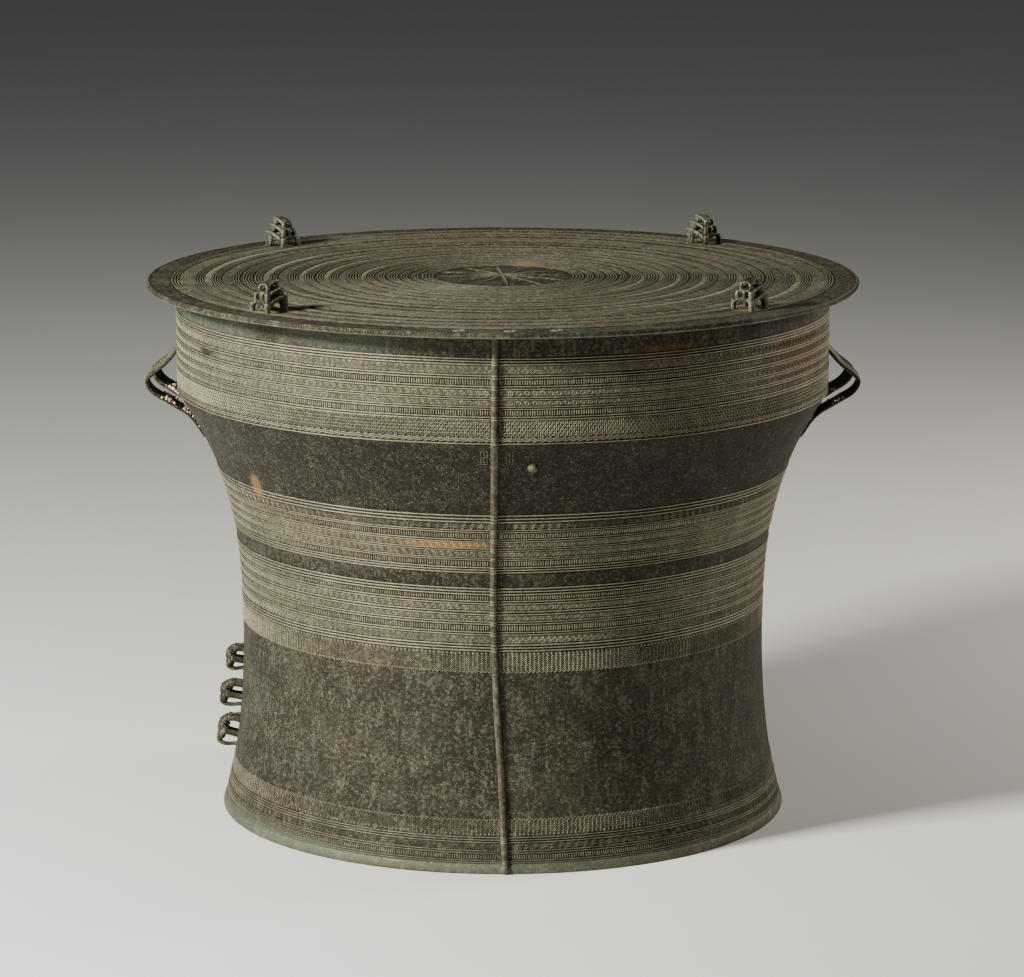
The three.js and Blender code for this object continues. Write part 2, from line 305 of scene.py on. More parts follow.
class DrumPatina(PropertyGroup):
    """Colours of the aged bronze."""

    umber: colour("Umber", (0.017, 0.015, 0.009), "Darkest of the plain metal")
    olive: colour("Olive", (0.052, 0.047, 0.029), "Middle tone of the plain metal")
    ash: colour("Ash", (0.165, 0.156, 0.104), "Pale dusty film on the plain metal")
    # Crest also gives the painted highlight on the lower lip of the head's edge.
    crest: colour("Crest", (0.330, 0.312, 0.205), "Worn tops of the relief")
    # Soil also gives the painted shade where a piece's wear is set low for it.
    soil_and_shade: colour("Soil", (0.012, 0.011, 0.008), "Dirt in the hollows")
    verdigris: colour("Verdigris", (0.130, 0.172, 0.122), "Green corrosion")
    ochre: colour("Ochre", (0.420, 0.235, 0.095), "Orange deposits")
    rust: colour("Rust", (0.115, 0.048, 0.024), "Red-brown patches")
    crust: colour("Crust", (0.640, 0.480, 0.340), "Pale tan lumps on the handles")


class DrumStage(PropertyGroup):
    """Camera, lights and floor."""

    camera_distance: length("Camera distance", 4.051, "Distance of the camera in front of the axis")
    camera_height: length("Camera height", 1.1078, "Height of the camera")
    camera_tilt: angle("Camera tilt", 78.699, "Angle of the view from straight down")
    lens: number("Lens", 154.97, "Focal length in millimetres", 10.0)
    shift: number("Shift", 0.00898, "Sideways shift of the picture", -1.0)
    key_power: number("Key power", 190.0, "Watts of the key light")
    side_power: number("Side power", 40.0, "Watts of the right-hand light")
    fill_power: number("Fill power", 1.5, "Watts of the soft front light")
    sky: number("Sky", 0.065, "Strength of the even light from all around")
    floor_colour: colour("Floor colour", (0.74, 0.73, 0.71), "Colour of the floor")


class Metal:
    """Points, faces and wear gathered for one piece.

    Wear is 1 on a worn crest, 0 on plain metal and -1 in a soiled hollow. In some places a low wear is
    painted shade and a high wear a painted highlight.
    """

    def __init__(self):
        self.points = []
        self.quads = []
        self.triangles = []
        self.wear = []
        self.count = 0

    def add(self, points, faces, wear):
        """Adds points (any shape that ends in 3), arrays of three- or four-sided faces, and the wear."""
        points = np.asarray(points, float).reshape(-1, 3)
        for part in faces:
            kept = self.quads if part.shape[1] == 4 else self.triangles
            kept.append(part + self.count)
        self.points.append(points)
        self.wear.append(np.broadcast_to(np.asarray(wear, float).ravel(), len(points)))
        self.count += len(points)

    def add_solid(self, points, faces, wear):
        """Adds one closed body and turns its faces outward: a negative volume means that they point in."""
        points = np.asarray(points, float).reshape(-1, 3)
        corners = np.concatenate(
            [part[:, [0, i, i + 1]] for part in faces for i in range(1, part.shape[1] - 1)]
        )
        a, b, c = (points[corners[:, i]] for i in range(3))
        if np.einsum("ij,ij->i", a, np.cross(b, c)).sum() < 0:
            faces = [part[:, ::-1] for part in faces]
        self.add(points, faces, wear)

    def faded(self, share):
        """The same metal with only a share of its wear."""
        self.wear = [share * wear for wear in self.wear]
        return self

    def mesh(self, name):
        """A Blender mesh of everything gathered, with its wear as a point attribute."""
        points = np.concatenate(self.points)
        parts = [np.concatenate(kept) for kept in (self.quads, self.triangles) if kept]
        sides = np.concatenate([np.full(len(part), part.shape[1]) for part in parts])
        mesh = bpy.data.meshes.new(name)
        mesh.vertices.add(len(points))
        mesh.vertices.foreach_set("co", points.astype(np.float32).ravel())
        mesh.loops.add(int(sides.sum()))
        mesh.polygons.add(len(sides))
        starts = np.concatenate([[0], np.cumsum(sides)[:-1]])
        corners = np.concatenate([part.ravel() for part in parts])
        mesh.polygons.foreach_set("loop_start", starts.astype(np.int32))
        mesh.polygons.foreach_set("vertices", corners.astype(np.int32))
        wear = mesh.attributes.new("wear", "FLOAT", "POINT")
        wear.data.foreach_set("value", np.concatenate(self.wear).astype(np.float32))
        mesh.update(calc_edges=True)
        mesh.validate()
        return mesh

    def piece(self, name, material, smooth=True):
        """The finished piece, which rides with the drum and stands for its solid."""
        piece = bpy.data.objects.new(name, self.mesh(name))
        bpy.context.scene.collection.objects.link(piece)
        piece.data.polygons.foreach_set("use_smooth", np.full(len(piece.data.polygons), smooth))
        piece.data.materials.append(material)
        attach(piece, "root")
        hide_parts("drum")
        return piece


def ring_angles(count):
    """Evenly spaced angles of one full turn."""
    return np.arange(count) * FULL_TURN / count


def polar(azimuth, reach, height):
    """Points at an azimuth, a distance from the axis and a height."""
    return np.stack(np.broadcast_arrays(reach * np.cos(azimuth), reach * np.sin(azimuth), height), -1)


def turned(along, across, height, turn):
    """Points given along +X and across it, turned about the axis."""
    cos, sin = math.cos(turn), math.sin(turn)
    return np.stack([along * cos - across * sin, along * sin + across * cos, height], -1)


def grid_quads(rows, columns, closed_rows=False, closed_columns=True):
    """Four-sided faces between neighbouring points of a grid whose points are numbered row by row."""
    row = np.arange(rows if closed_rows else rows - 1)[:, None]
    column = np.arange(columns if closed_columns else columns - 1)[None, :]
    below, beside = (row + 1) % rows, (column + 1) % columns
    upper, lower = row * columns, below * columns
    return np.stack([upper + column, upper + beside, lower + beside, lower + column], -1).reshape(-1, 4)


def fan(ring, tip):
    """Three-sided faces from each step of a ring of point numbers to one tip."""
    return np.stack([ring, np.roll(ring, -1), np.full(len(ring), tip)], -1)


def tube(sections):
    """A closed body through sections (rows x columns x 3): quads along it and a fan at each end."""
    rows, columns = sections.shape[:2]
    points = np.concatenate([sections.reshape(-1, 3), sections[:1].mean(1), sections[-1:].mean(1)])
    ring = np.arange(columns)
    ends = [fan(ring[::-1], rows * columns), fan(ring + (rows - 1) * columns, rows * columns + 1)]
    return points, [grid_quads(rows, columns), *ends]


def curve(points, count):
    """A smooth route through given points.

    Each span is a cubic, whose slope at an end is half the step between the points on either side.
    """
    points = np.asarray(points, float)
    padded = np.concatenate([2 * points[:1] - points[1:2], points, 2 * points[-1:] - points[-2:-1]])
    place = np.linspace(0, len(points) - 1, count)
    span = np.minimum(place.astype(int), len(points) - 2)
    t = (place - span)[:, None]
    a, b, c, d = (padded[span + i] for i in range(4))
    return 0.5 * (2 * b + (c - a) * t + (2 * a - 5 * b + 4 * c - d) * t**2 + (3 * b - a - 3 * c + d) * t**3)


def unit(vectors):
    """Vectors scaled to length one."""
    return vectors / np.linalg.norm(vectors, axis=-1, keepdims=True)


def limb(route, sizes, across, count, sides):
    """A body along a route whose section is an ellipse.

    sizes gives at each route point the half-width along the across direction and the half-width square to it.
    """
    path = curve(route, count)
    halves = curve(sizes, count)
    along = unit(np.gradient(path, axis=0))
    normal = unit(np.cross(along, across))
    beside = np.cross(normal, along)
    turn = ring_angles(sides)
    sections = (
        path[:, None]
        + beside[:, None] * (halves[:, :1] * np.cos(turn))[..., None]
        + normal[:, None] * (halves[:, 1:] * np.sin(turn))[..., None]
    )
    return tube(sections)


def ball(centre, radii, rows, columns):
    """An ellipsoid: rings of radius sin t at height cos t and a point at each pole, scaled by its radii."""
    lean = np.linspace(0, math.pi, rows + 1)[1:-1, None]
    turn = ring_angles(columns)[None, :]
    rings = np.stack([np.sin(lean) * np.cos(turn), np.sin(lean) * np.sin(turn), np.cos(lean) + 0 * turn], -1)
    points = np.concatenate([rings.reshape(-1, 3), [[0, 0, 1], [0, 0, -1]]]) * radii + centre
    ring = np.arange(columns)
    last = (rows - 2) * columns
    poles = [fan(ring[::-1], last + columns), fan(ring + last, last + columns + 1)]
    return points, [grid_quads(rows - 1, columns), *poles]


def trunk_radius(form, level):
    """Outer radius of the plain trunk.

    It is least at the waist. It grows above and below as a power of the distance from the waist, up to the
    shoulder and down to the foot, and is constant above the shoulder.
    """
    rise = np.clip((level - form.waist_height) / (form.shoulder_height - form.waist_height), 0, 1)
    fall = np.clip((form.waist_height - level) / form.waist_height, 0, 1)
    above = (form.shoulder_radius - form.waist_radius) * rise**form.flare_power
    below = (form.foot_radius - form.waist_radius) * fall**form.flare_power
    return form.waist_radius + above + below


def trunk_surface(form):
    """The trunk's outside: its level is a height, with a slow wander of the hand-laid bands up and down.

    The wander fades out over a short height at the foot and at the collar.
    """

    calm_foot, calm_collar = 0.03, 0.02

    def point(azimuth, level, out):
        fade = np.clip(level / calm_foot, 0, 1) * np.clip((form.collar_top - level) / calm_collar, 0, 1)
        slow = np.sin(2 * azimuth + 0.9) + 0.7 * np.sin(5 * azimuth + level / 0.04)
        height = level + form.sway * fade * (slow + 0.3 * np.sin(13 * azimuth))
        return polar(azimuth, trunk_radius(form, height) + out, height)

    return Surface(lambda level: trunk_radius(form, level), point, 1)


def head_surface(form):
    """The head's top: its level is a radius, so a level that grows goes outward."""
    top = form.collar_top + form.head_edge

    def point(azimuth, level, out):
        wander = np.sin(3 * azimuth + level / 0.03) + 0.5 * np.sin(7 * azimuth - level / 0.05)
        return polar(azimuth, level + form.sway * wander, top + out)

    return Surface(lambda level: level, point, -1)


def edge_surface(form):
    """The upright edge of the head: its level is a height."""
    reach = form.head_radius - 0.7 * MM

    def point(azimuth, level, out):
        return polar(azimuth, reach + out, level)

    return Surface(lambda level: 0 * level + reach, point, 1)


def repeat(metal, shape, surface, azimuths, levels, turns=0.0, scales=1.0):
    """Copies a small relief over a surface.

    Each copy's points (along, up, out) are scaled and turned in their own plane. Along is divided by the
    surface's radius there, which makes it an angle, and up is added to the level.
    """
    azimuths, levels, turns, scales = (
        np.array(values, float).ravel()[:, None]
        for values in np.broadcast_arrays(azimuths, levels, turns, scales)
    )
    cos, sin = np.cos(turns), np.sin(turns)
    along, up = shape.points[:, 0], shape.points[:, 1]
    beside = scales * (along * cos - up * sin)
    rise = scales * (along * sin + up * cos)
    azimuth = azimuths + surface.handed * beside / surface.radius(levels)
    spots = surface.point(azimuth, levels + rise, shape.points[None, :, 2])
    shift = np.arange(len(azimuths))[:, None, None] * len(shape.points)
    faces = [(part[None] + shift).reshape(-1, part.shape[1]) for part in shape.faces]
    metal.add(spots, faces, np.tile(shape.wear, len(azimuths)))


def bar(width, height, relief, crest=0.45):
    """A stroke: a rectangle in the metal under a narrower flat top. Eight corners, six faces."""
    signs = np.array([(-1, -1), (1, -1), (1, 1), (-1, 1)])
    low = np.column_stack([signs * (width / 2, height / 2), np.full(4, -SUNK)])
    inset = width * (1 - crest) / 2
    high = np.column_stack([signs * (width / 2 - inset, height / 2 - inset), np.full(4, relief)])
    faces = np.array([(0, 3, 2, 1), (4, 5, 6, 7), (0, 1, 5, 4), (1, 2, 6, 5), (2, 3, 7, 6), (3, 0, 4, 7)])
    return Shape(np.concatenate([low, high]), [faces], np.array([FOOT_WEAR] * 4 + [TOP_WEAR] * 4))


def ridge(width, height, relief):
    """A thin stroke: a rectangle in the metal that rises to one crest line. Six corners, five faces."""
    right, up = width / 2, height / 2
    low = [(-right, -up), (right, -up), (right, up), (-right, up)]
    high = [(0, width / 3 - height / 2), (0, height / 2 - width / 3)]
    points = np.array([(x, y, -SUNK) for x, y in low] + [(x, y, relief) for x, y in high])
    quads = np.array([(0, 3, 2, 1), (1, 2, 5, 4), (3, 0, 4, 5)])
    triangles = np.array([(0, 1, 4), (2, 3, 5)])
    return Shape(points, [quads, triangles], np.array([FOOT_WEAR] * 4 + [TOP_WEAR] * 2))


def loop(across, up, width, relief, sides, rim_wear=FOOT_WEAR):
    """A closed raised line: at each of its corners a section of inner foot, crest and outer foot."""
    turn = ring_angles(sides)[:, None]
    grow = np.array([-width / 2, 0, width / 2])[None, :]
    out = np.broadcast_to(np.array([-RING_SUNK, relief, -RING_SUNK]), (sides, 3))
    points = np.stack([(across + grow) * np.cos(turn), (up + grow) * np.sin(turn), out], -1).reshape(-1, 3)
    faces = grid_quads(sides, 3, closed_rows=True)[:, ::-1]
    return Shape(points, [faces], np.tile([FOOT_WEAR, TOP_WEAR, rim_wear], sides))


def cone(radius, relief, sides=6):
    """A small pointed dot: a ring in the metal, a tip above it and a middle point below."""
    points = np.concatenate([polar(ring_angles(sides), radius, -SUNK), [[0, 0, relief], [0, 0, -SUNK]]])
    numbers = np.arange(sides)
    faces = [fan(numbers, sides), fan(numbers[::-1], sides + 1)]
    return Shape(points, faces, np.array([FOOT_WEAR] * sides + [TOP_WEAR, FOOT_WEAR]))


def around(surface, level, pitch, even=False):
    """Evenly spaced azimuths around a level, as near to the pitch as a whole number of copies allows."""
    count = round(FULL_TURN * float(surface.radius(level)) / pitch)
    if even:
        count += count % 2
    return ring_angles(count)


def comb(metal, surface, top, height, relief, depth, rng):
    """Upright strokes side by side, a little uneven."""
    level = top - height / 2
    azimuths = around(surface, level, relief.comb_pitch)
    jitter = rng.uniform(-1, 1, (3, len(azimuths)))
    shape = bar(0.62 * relief.comb_pitch, 0.9 * height, depth)
    azimuths = azimuths + jitter[0] * 0.1 * relief.comb_pitch / surface.radius(level)
    levels = level + jitter[1] * 0.15 * MM
    repeat(metal, shape, surface, azimuths, levels, jitter[2] * 0.05, 1 + 0.05 * jitter[0])


def circles(metal, surface, top, height, relief, depth, rng):
    """Circles with a dot in the middle, and two slanting strokes between each and the next.

    In a tall band the circles stand farther apart, as their height does to that of a usual band.
    """
    level = top - height / 2
    usual, tall = 4.8 * MM, 8 * MM
    pitch = relief.circle_pitch * (height / usual if height > tall else 1)
    azimuths = around(surface, level, pitch)
    wobble = rng.uniform(-1, 1, (2, len(azimuths)))
    azimuths = azimuths + wobble[0] * 0.2 * MM / surface.radius(level)
    levels = level + wobble[1] * 0.15 * MM
    radius = 0.4 * height
    repeat(metal, loop(radius, radius, 0.26 * height, 0.8 * depth, 8), surface, azimuths, levels)
    repeat(metal, cone(0.3 * radius, depth), surface, azimuths, levels)
    between = azimuths + pitch / 2 / surface.radius(level)
    stroke = ridge(0.7 * MM, 0.85 * height, 0.6 * depth)
    for aside in (-0.45 * MM, 0.45 * MM):
        repeat(metal, stroke, surface, between + aside / surface.radius(level), levels, 0.3)


def lozenges(metal, surface, top, height, relief, depth, rng):
    """One row of lozenges, one inside another."""
    level = top - height / 2
    azimuths = around(surface, level, relief.lozenge_pitch)
    jitter = rng.uniform(-1, 1, len(azimuths)) * 0.12 * MM
    for share in (0.9, 0.42):
        shape = loop(share * 0.5 * relief.lozenge_pitch, share * 0.46 * height, 0.9 * MM, 0.6 * depth, 4)
        repeat(metal, shape, surface, azimuths + jitter / surface.radius(level), level + jitter)


def lattice(metal, surface, top, height, relief, depth, rng):
    """Staggered rows of small rings, each around a dark pit."""
    row_pitch = 2.7 * MM
    rows = max(2, round(height / row_pitch))
    spacing = height / rows
    pitch = relief.lattice_pitch
    shape = loop(0.37 * pitch, 0.36 * pitch, 0.27 * pitch, 0.7 * depth, 5, rim_wear=0.5)
    for row in range(rows):
        level = top - spacing * (row + 0.5)
        azimuths = around(surface, top, pitch) + (row % 2) * pitch / 2 / surface.radius(top)
        jitter = rng.uniform(-1, 1, len(azimuths)) * 0.12 * MM
        repeat(metal, shape, surface, azimuths + jitter / surface.radius(level), level + jitter)


def herringbone(metal, surface, levels, pitch, slant, shape, rng):
    """Columns of parallel strokes that slant one way and the other by turns."""
    azimuths = around(surface, float(np.mean(levels)), pitch / 2, even=True)
    lean = np.where(np.arange(len(azimuths)) % 2, slant, -slant)
    jitter = rng.uniform(-1, 1, (len(levels), len(azimuths)))
    repeat(
        metal, shape, surface, azimuths[None, :], np.asarray(levels)[:, None] + 0.1 * MM * jitter,
        lean[None, :] + 0.04 * jitter,
    )


def waves(metal, surface, top, height, relief, depth, rng):
    """A hatched zigzag: three parallel strokes in each slanting column."""
    levels = [top - height * share for share in (0.22, 0.5, 0.78)]
    stroke = ridge(0.9 * MM, relief.wave_pitch * 0.56, depth)
    herringbone(metal, surface, levels, relief.wave_pitch, math.radians(62), stroke, rng)


def teeth(direction, metal, surface, top, height, relief, depth, rng):
    """A field of chevrons with a zigzag edge.

    Direction -1 hangs the zigzag below and sets a row of short pointed strokes above, and 1 turns it over.
    """
    pitch = relief.tooth_pitch
    row_pitch = 2.0 * MM
    points_height = 3.4 * MM
    base = top if direction < 0 else top - height
    rows = int((height - points_height) / row_pitch)
    levels = [base + direction * (points_height + row_pitch * (row + 0.35)) for row in range(rows)]
    slant = math.radians(-45 * direction)
    herringbone(metal, surface, levels[:-1], pitch, slant, ridge(1.1 * MM, pitch * 0.7, depth), rng)
    herringbone(metal, surface, levels[-1:], pitch, slant, bar(1.0 * MM, pitch * 0.74, depth), rng)
    level = base + direction * points_height / 2
    azimuths = around(surface, level, pitch)
    repeat(metal, ridge(0.75 * pitch, points_height * 0.9, depth), surface, azimuths, level)


def rope(metal, surface, top, height, relief, depth, rng):
    """Long strokes that lean far over, side by side, like a twisted cord."""
    level = top - height / 2
    azimuths = around(surface, level, relief.rope_pitch)
    azimuths = azimuths + rng.uniform(-0.2, 0.2, len(azimuths)) * MM / surface.radius(level)
    stroke = bar(1.3 * MM, 3.2 * height, 1.5 * depth, crest=0.5)
    repeat(metal, stroke, surface, azimuths, level, relief.rope_lean)


STAMPS = {
    "comb": comb,
    "circles": circles,
    "lozenges": lozenges,
    "lattice": lattice,
    "waves": waves,
    "rope": rope,
    "hanging": partial(teeth, -1),
    "rising": partial(teeth, 1),
}


def stamp_bands(metal, surface, top, bands, relief, depth, seed):
    """Stamps every band of a zone that isn't only raised lines."""
    rng = np.random.default_rng(seed)
    for kind, millimetres, _ in bands:
        height = millimetres * MM
        if kind in STAMPS:
            STAMPS[kind](metal, surface, top, height, relief, depth, rng)
        top -= height


def band_profile(top, bands, relief, stamped=1.0, crest=0.75):
    """Rows of level, out and wear down one banded zone.

    A raised line has four rows: its foot, the two sides of its crest and its other foot. Any other band is a
    flat field, a touch sunk between two shallow steps. Stamped is the share of the fields' wear that is kept,
    and crest is the wear of a raised line.
    """
    rows = []
    for kind, millimetres, count in bands:
        height = millimetres * MM
        if count:
            pitch = height / count
            half = min(relief.line_width, 0.62 * pitch) / 2
            rows.append((top - 0.05 * MM, -0.12 * MM, -1.0))
            for i in range(count):
                middle = top - pitch * (i + 0.5)
                rows += [
                    (middle + half, -0.1 * MM, -1.0),
                    (middle + 0.55 * half, relief.line_relief, crest),
                    (middle - 0.45 * half, relief.line_relief, crest),
                    (middle - half, -0.1 * MM, -1.0),
                ]
            rows.append((top - height + 0.05 * MM, -0.12 * MM, -1.0))
        else:
            step = min(0.3 * MM, 0.2 * height)
            wear = FIELD_WEAR[kind] * stamped
            rows += [(top - step, -0.1 * MM, wear), (top + step - height, -0.1 * MM, wear)]
        top -= height
    return rows


def plain_rows(top, bottom, spacing=0.006, wear=0.0):
    """Rows of plain metal between two levels, without the ends."""
    count = max(2, math.ceil((top - bottom) / spacing))
    return [(level, 0.0, wear) for level in np.linspace(top, bottom, count + 1)[1:-1]]


def zone_height(bands):
    """Height of a zone: the sum of its bands' heights."""
    return sum(millimetres for _, millimetres, _ in bands) * MM


def trunk_outside(form, relief):
    """Rows of level, out and wear from under the head to the top of the foot's rim."""
    rows = [(form.collar_top + 0.5 * form.wall, 0.0, 0.0)]
    level = form.collar_top
    for _, top, bands, wear, share in ZONES:
        rows.append((level - 0.3 * MM, 0.0, wear))
        rows += plain_rows(level, top, wear=wear)
        rows.append((top + 0.2 * MM, 0.0, wear))
        rows += band_profile(top, bands, relief, share, 0.75 * share)
        level = top - zone_height(bands)
    return rows


def trunk(form, relief):
    """The trunk as one closed ring: banded outside, rounded foot rim, plain inside a wall's thickness in."""
    rows = trunk_outside(form, relief)
    rim = form.foot_rim
    rim_swell = 1.3 * MM
    for share in np.linspace(0.98, 0.0, 11):
        rows.append((rim * share, rim_swell * math.sqrt(max(0.0, 1 - (2 * share - 1) ** 2)), 0.25))
    rows.append((0.0, -form.foot_wall, 0.0))
    thick_top = 0.032
    inner_rows = 24
    for level in np.linspace(0.004, form.collar_top + 0.5 * form.wall, inner_rows):
        share = min(1.0, level / thick_top)
        rows.append((level, -form.foot_wall + (form.foot_wall - form.wall) * share, -0.15))
    levels, outs, wear = (np.array(values)[:, None] for values in zip(*rows))
    azimuths = ring_angles(form.columns)[None, :]
    points = trunk_surface(form).point(azimuths, levels, outs)
    metal = Metal()
    faces = grid_quads(len(rows), form.columns, closed_rows=True)
    metal.add_solid(points, [faces], np.broadcast_to(wear, points.shape[:2]))
    return metal


def head(form, relief):
    """The head as one closed disc, from the middle of its underside round its edge to that of its top."""
    surface = head_surface(form)
    top = form.collar_top + form.head_edge
    edge = form.head_radius
    under = [(0.02, -form.head_plate, 0.0)]
    inside = form.shoulder_radius - form.wall
    under += [(radius, -form.head_plate, 0.0) for radius in np.linspace(0.06, inside, 7)]
    under += [(form.shoulder_radius - 0.5 * form.wall, -form.head_edge, 0.0)]
    # Rows round the edge, as mm inward from the edge, mm out and wear. The light rows at the lower lip are a
    # painted highlight, and the upright middle is darker.
    bead = [
        (1.9, -5.0, -0.2), (0.9, -4.7, 0.4), (0.4, -3.8, 0.2), (0.3, -2.4, -0.5), (0.4, -1.0, -0.6),
        (0.9, 0.1, -0.2), (1.6, 0.4, 0.3), (2.4, 0.25, 0.1), (3.0, 0.0, -0.8),
    ]
    around_edge = [(edge - inward * MM, out * MM, wear) for inward, out, wear in bead]
    rows = under + around_edge + plain_rows(edge - 3 * MM, HEAD_TOP_RADIUS, 0.004, -0.3)
    rows += band_profile(HEAD_TOP_RADIUS, HEAD_BANDS, relief, 0.1, 0.45)
    inner = HEAD_TOP_RADIUS - zone_height(HEAD_BANDS)
    rows += plain_rows(inner, 0.004, 0.006, -0.35) + [(0.004, 0.0, -0.35)]
    levels, outs, wear = (np.array(values)[:, None] for values in zip(*rows))
    azimuths = ring_angles(form.columns)[None, :]
    rings = surface.point(azimuths, levels, outs).reshape(-1, 3)
    points = np.concatenate([rings, [[0, 0, top - form.head_plate], [0, 0, top]]])
    ring = np.arange(form.columns)
    last = (len(rows) - 1) * form.columns
    faces = [
        grid_quads(len(rows), form.columns),
        fan(ring[::-1], len(rings)),
        fan(ring + last, len(rings) + 1),
    ]
    shade = np.concatenate([np.broadcast_to(wear, (len(rows), form.columns)).ravel(), [0.0, -0.35]])
    metal = Metal()
    metal.add_solid(points, faces, shade)
    return metal


def star(form, relief):
    """Slender rays round a boss.

    A ray's half-width falls from its root to its tip with the distance, and its crest with the square root of
    the distance that is left.
    """
    metal = Metal()
    top = form.collar_top + form.head_edge
    share = np.linspace(0, 1, 12)
    valley = 0.006
    reach = valley + share * (relief.star_radius - valley)
    half = 5.4 * MM * (1 - share) ** 1.15 + 0.12 * MM
    crest = relief.star_relief * np.sqrt(1 - share) + 0.1 * MM
    flat = np.zeros_like(share)
    across = np.stack([-half, -half, flat, half, half], -1)
    out = np.stack([flat - 0.8 * MM, flat + 0.1 * MM, crest, flat + 0.1 * MM, flat - 0.8 * MM], -1)
    wear = np.concatenate([np.tile([-1.0, -0.6, 0.55, -0.6, -1.0], len(share)), [0.0, 0.0]])
    for i in range(relief.star_rays):
        turn = relief.star_turn + i * FULL_TURN / relief.star_rays
        along = np.broadcast_to(reach[:, None], across.shape)
        sections = turned(along, across, top + out, turn)
        metal.add_solid(*tube(sections), wear)
    metal.add_solid(*ball((0, 0, top), (5.2 * MM, 5.2 * MM, 2.4 * MM), 10, 24), 0.4)
    return metal


def head_motifs(form):
    """Three oval rosettes on the plain border of the head, near the front."""
    metal = Metal()
    surface = head_surface(form)
    level = 0.5 * (form.head_radius + HEAD_TOP_RADIUS) - 1.5 * MM
    for aside in (-0.038, 0.0065, 0.046):
        azimuth = FRONT + aside / level
        repeat(metal, loop(5.6 * MM, 3.6 * MM, 1.0 * MM, 0.6 * MM, 20), surface, azimuth, level)
        petals = ring_angles(8)
        along, up = 2.9 * MM * np.cos(petals), 1.8 * MM * np.sin(petals)
        petal = ridge(0.8 * MM, 2.2 * MM, 0.5 * MM)
        repeat(metal, petal, surface, azimuth - along / level, level + up, petals + BACK)
        repeat(metal, cone(0.9 * MM, 0.6 * MM), surface, azimuth, level)
    return metal.faded(0.9)


def edge_rope(form):
    """A fine slanting stroke pattern around the upper half of the head's edge."""
    metal = Metal()
    surface = edge_surface(form)
    level = form.collar_top + 0.66 * form.head_edge
    azimuths = around(surface, level, 2.6 * MM)
    stroke = bar(1.1 * MM, 2.6 * MM, 0.45 * MM)
    repeat(metal, stroke._replace(wear=0.25 * stroke.wear), surface, azimuths, level, math.radians(-38))
    return metal


def seam(form, relief, fittings, turn):
    """A rounded bar down the trunk, over which the raised lines run.

    Its section is half an ellipse, raised by the height of the trunk's lines there. Its middle wanders.
    """
    rows = np.array(trunk_outside(form, relief))
    levels = np.concatenate([rows[:, 0], np.linspace(0.0088, fittings.knob_radius, 6)])
    outs = np.concatenate([np.maximum(rows[:, 1], 0), np.zeros(6)])
    steps = 200
    wander = curve([[x * MM] for x in (-6.5, -7, -7.5, -8, -8, -5, -1, 2)], steps)[:, 0]
    low, high = fittings.knob_radius, form.collar_top + fittings.root
    aside = np.interp(levels, np.linspace(low, high, steps), wander[::-1])
    lean = np.linspace(-BACK, BACK, 11)
    half = fittings.seam_width / 2
    across = np.concatenate([[-half], half * np.sin(lean), [half]])
    lift = np.concatenate([[-fittings.root], fittings.seam_relief * np.cos(lean) ** 0.8, [-fittings.root]])
    share = np.clip(lift / fittings.seam_relief, 0, 1)
    out = lift[None, :] + 0.8 * outs[:, None] * share[None, :]
    crossing = (outs[:, None] > 0.5 * relief.line_relief) * (share > 0.3)
    # Both flanks of the bar are painted dark, a painted shadow along its sides. Its top is a little worn, and
    # the trunk's lines that cross it are worn lighter.
    wear = np.where(share > 0.6, 0.12, -0.85)[None, :] + 0.45 * crossing
    surface = trunk_surface(form)
    azimuth = FRONT + turn + (aside[:, None] + across[None, :]) / trunk_radius(form, levels)[:, None]
    sections = surface.point(azimuth, levels[:, None], out)
    metal = Metal()
    metal.add_solid(*tube(sections), np.concatenate([np.clip(wear, -1, 1).ravel(), [0.0, 0.0]]))
    angle_at = FRONT + turn + aside[-1] / form.foot_radius
    centre = surface.point(np.array(angle_at), np.array(low), np.array(1.0 * MM))
    radius = fittings.knob_radius
    metal.add_solid(*ball(centre, (radius, radius * 0.9, radius * 0.98), 14, 20), 0.2)
    return metal


def casting_knob(form, fittings):
    """The round knob on the plain flare beside the front seam."""
    below, beside = 0.023, 0.026
    level = form.shoulder_height - below
    radius = fittings.casting_knob
    azimuth = FRONT + beside / trunk_radius(form, level)
    centre = trunk_surface(form).point(azimuth, level, 0.4 * MM)
    metal = Metal()
    metal.add_solid(*ball(centre, (radius * 1.15, radius * 1.25, radius), 16, 22), 0.3)
    return metal


def seam_motifs(form):
    """Two small square stamps, one above the other, on either side of the front seam."""
    metal = Metal()
    surface = trunk_surface(form)
    frame_line = loop(4.0 * MM, 4.0 * MM, 1.0 * MM, 0.5 * MM, 4)
    stroke = bar(0.9 * MM, 3.4 * MM, 0.45 * MM)
    for aside in (-0.0163, 0.0058):
        for level in (0.3874, 0.3803):
            azimuth = FRONT + aside / surface.radius(level)
            repeat(metal, frame_line, surface, azimuth, level, math.radians(45))
            repeat(metal, stroke, surface, azimuth, level, math.radians(20))
    return metal


def strap_route(form, fittings):
    """Radius and height along a strap: out from the shoulder, round its tip and back down to the flare."""
    shoulder, reach, thick = form.shoulder_radius, fittings.handle_reach, fittings.strap_thickness
    height, rise, drop = form.shoulder_height, 0.038, 0.044
    tip = height + 0.007
    foot = height - drop
    return [
        (shoulder - fittings.root, height + rise),
        (shoulder + 0.38 * reach, tip + 0.55 * (height + rise - tip)),
        (shoulder + 0.84 * reach, tip + 0.22 * (height + rise - tip)),
        (shoulder + reach, tip),
        (shoulder + 0.8 * reach, tip - 0.22 * drop),
        (shoulder + 0.24 * reach, tip - 0.44 * drop),
        (float(trunk_radius(form, height - 0.55 * drop)) + thick, tip - 0.72 * drop),
        (float(trunk_radius(form, foot)) - 0.5 * fittings.root, foot),
    ]


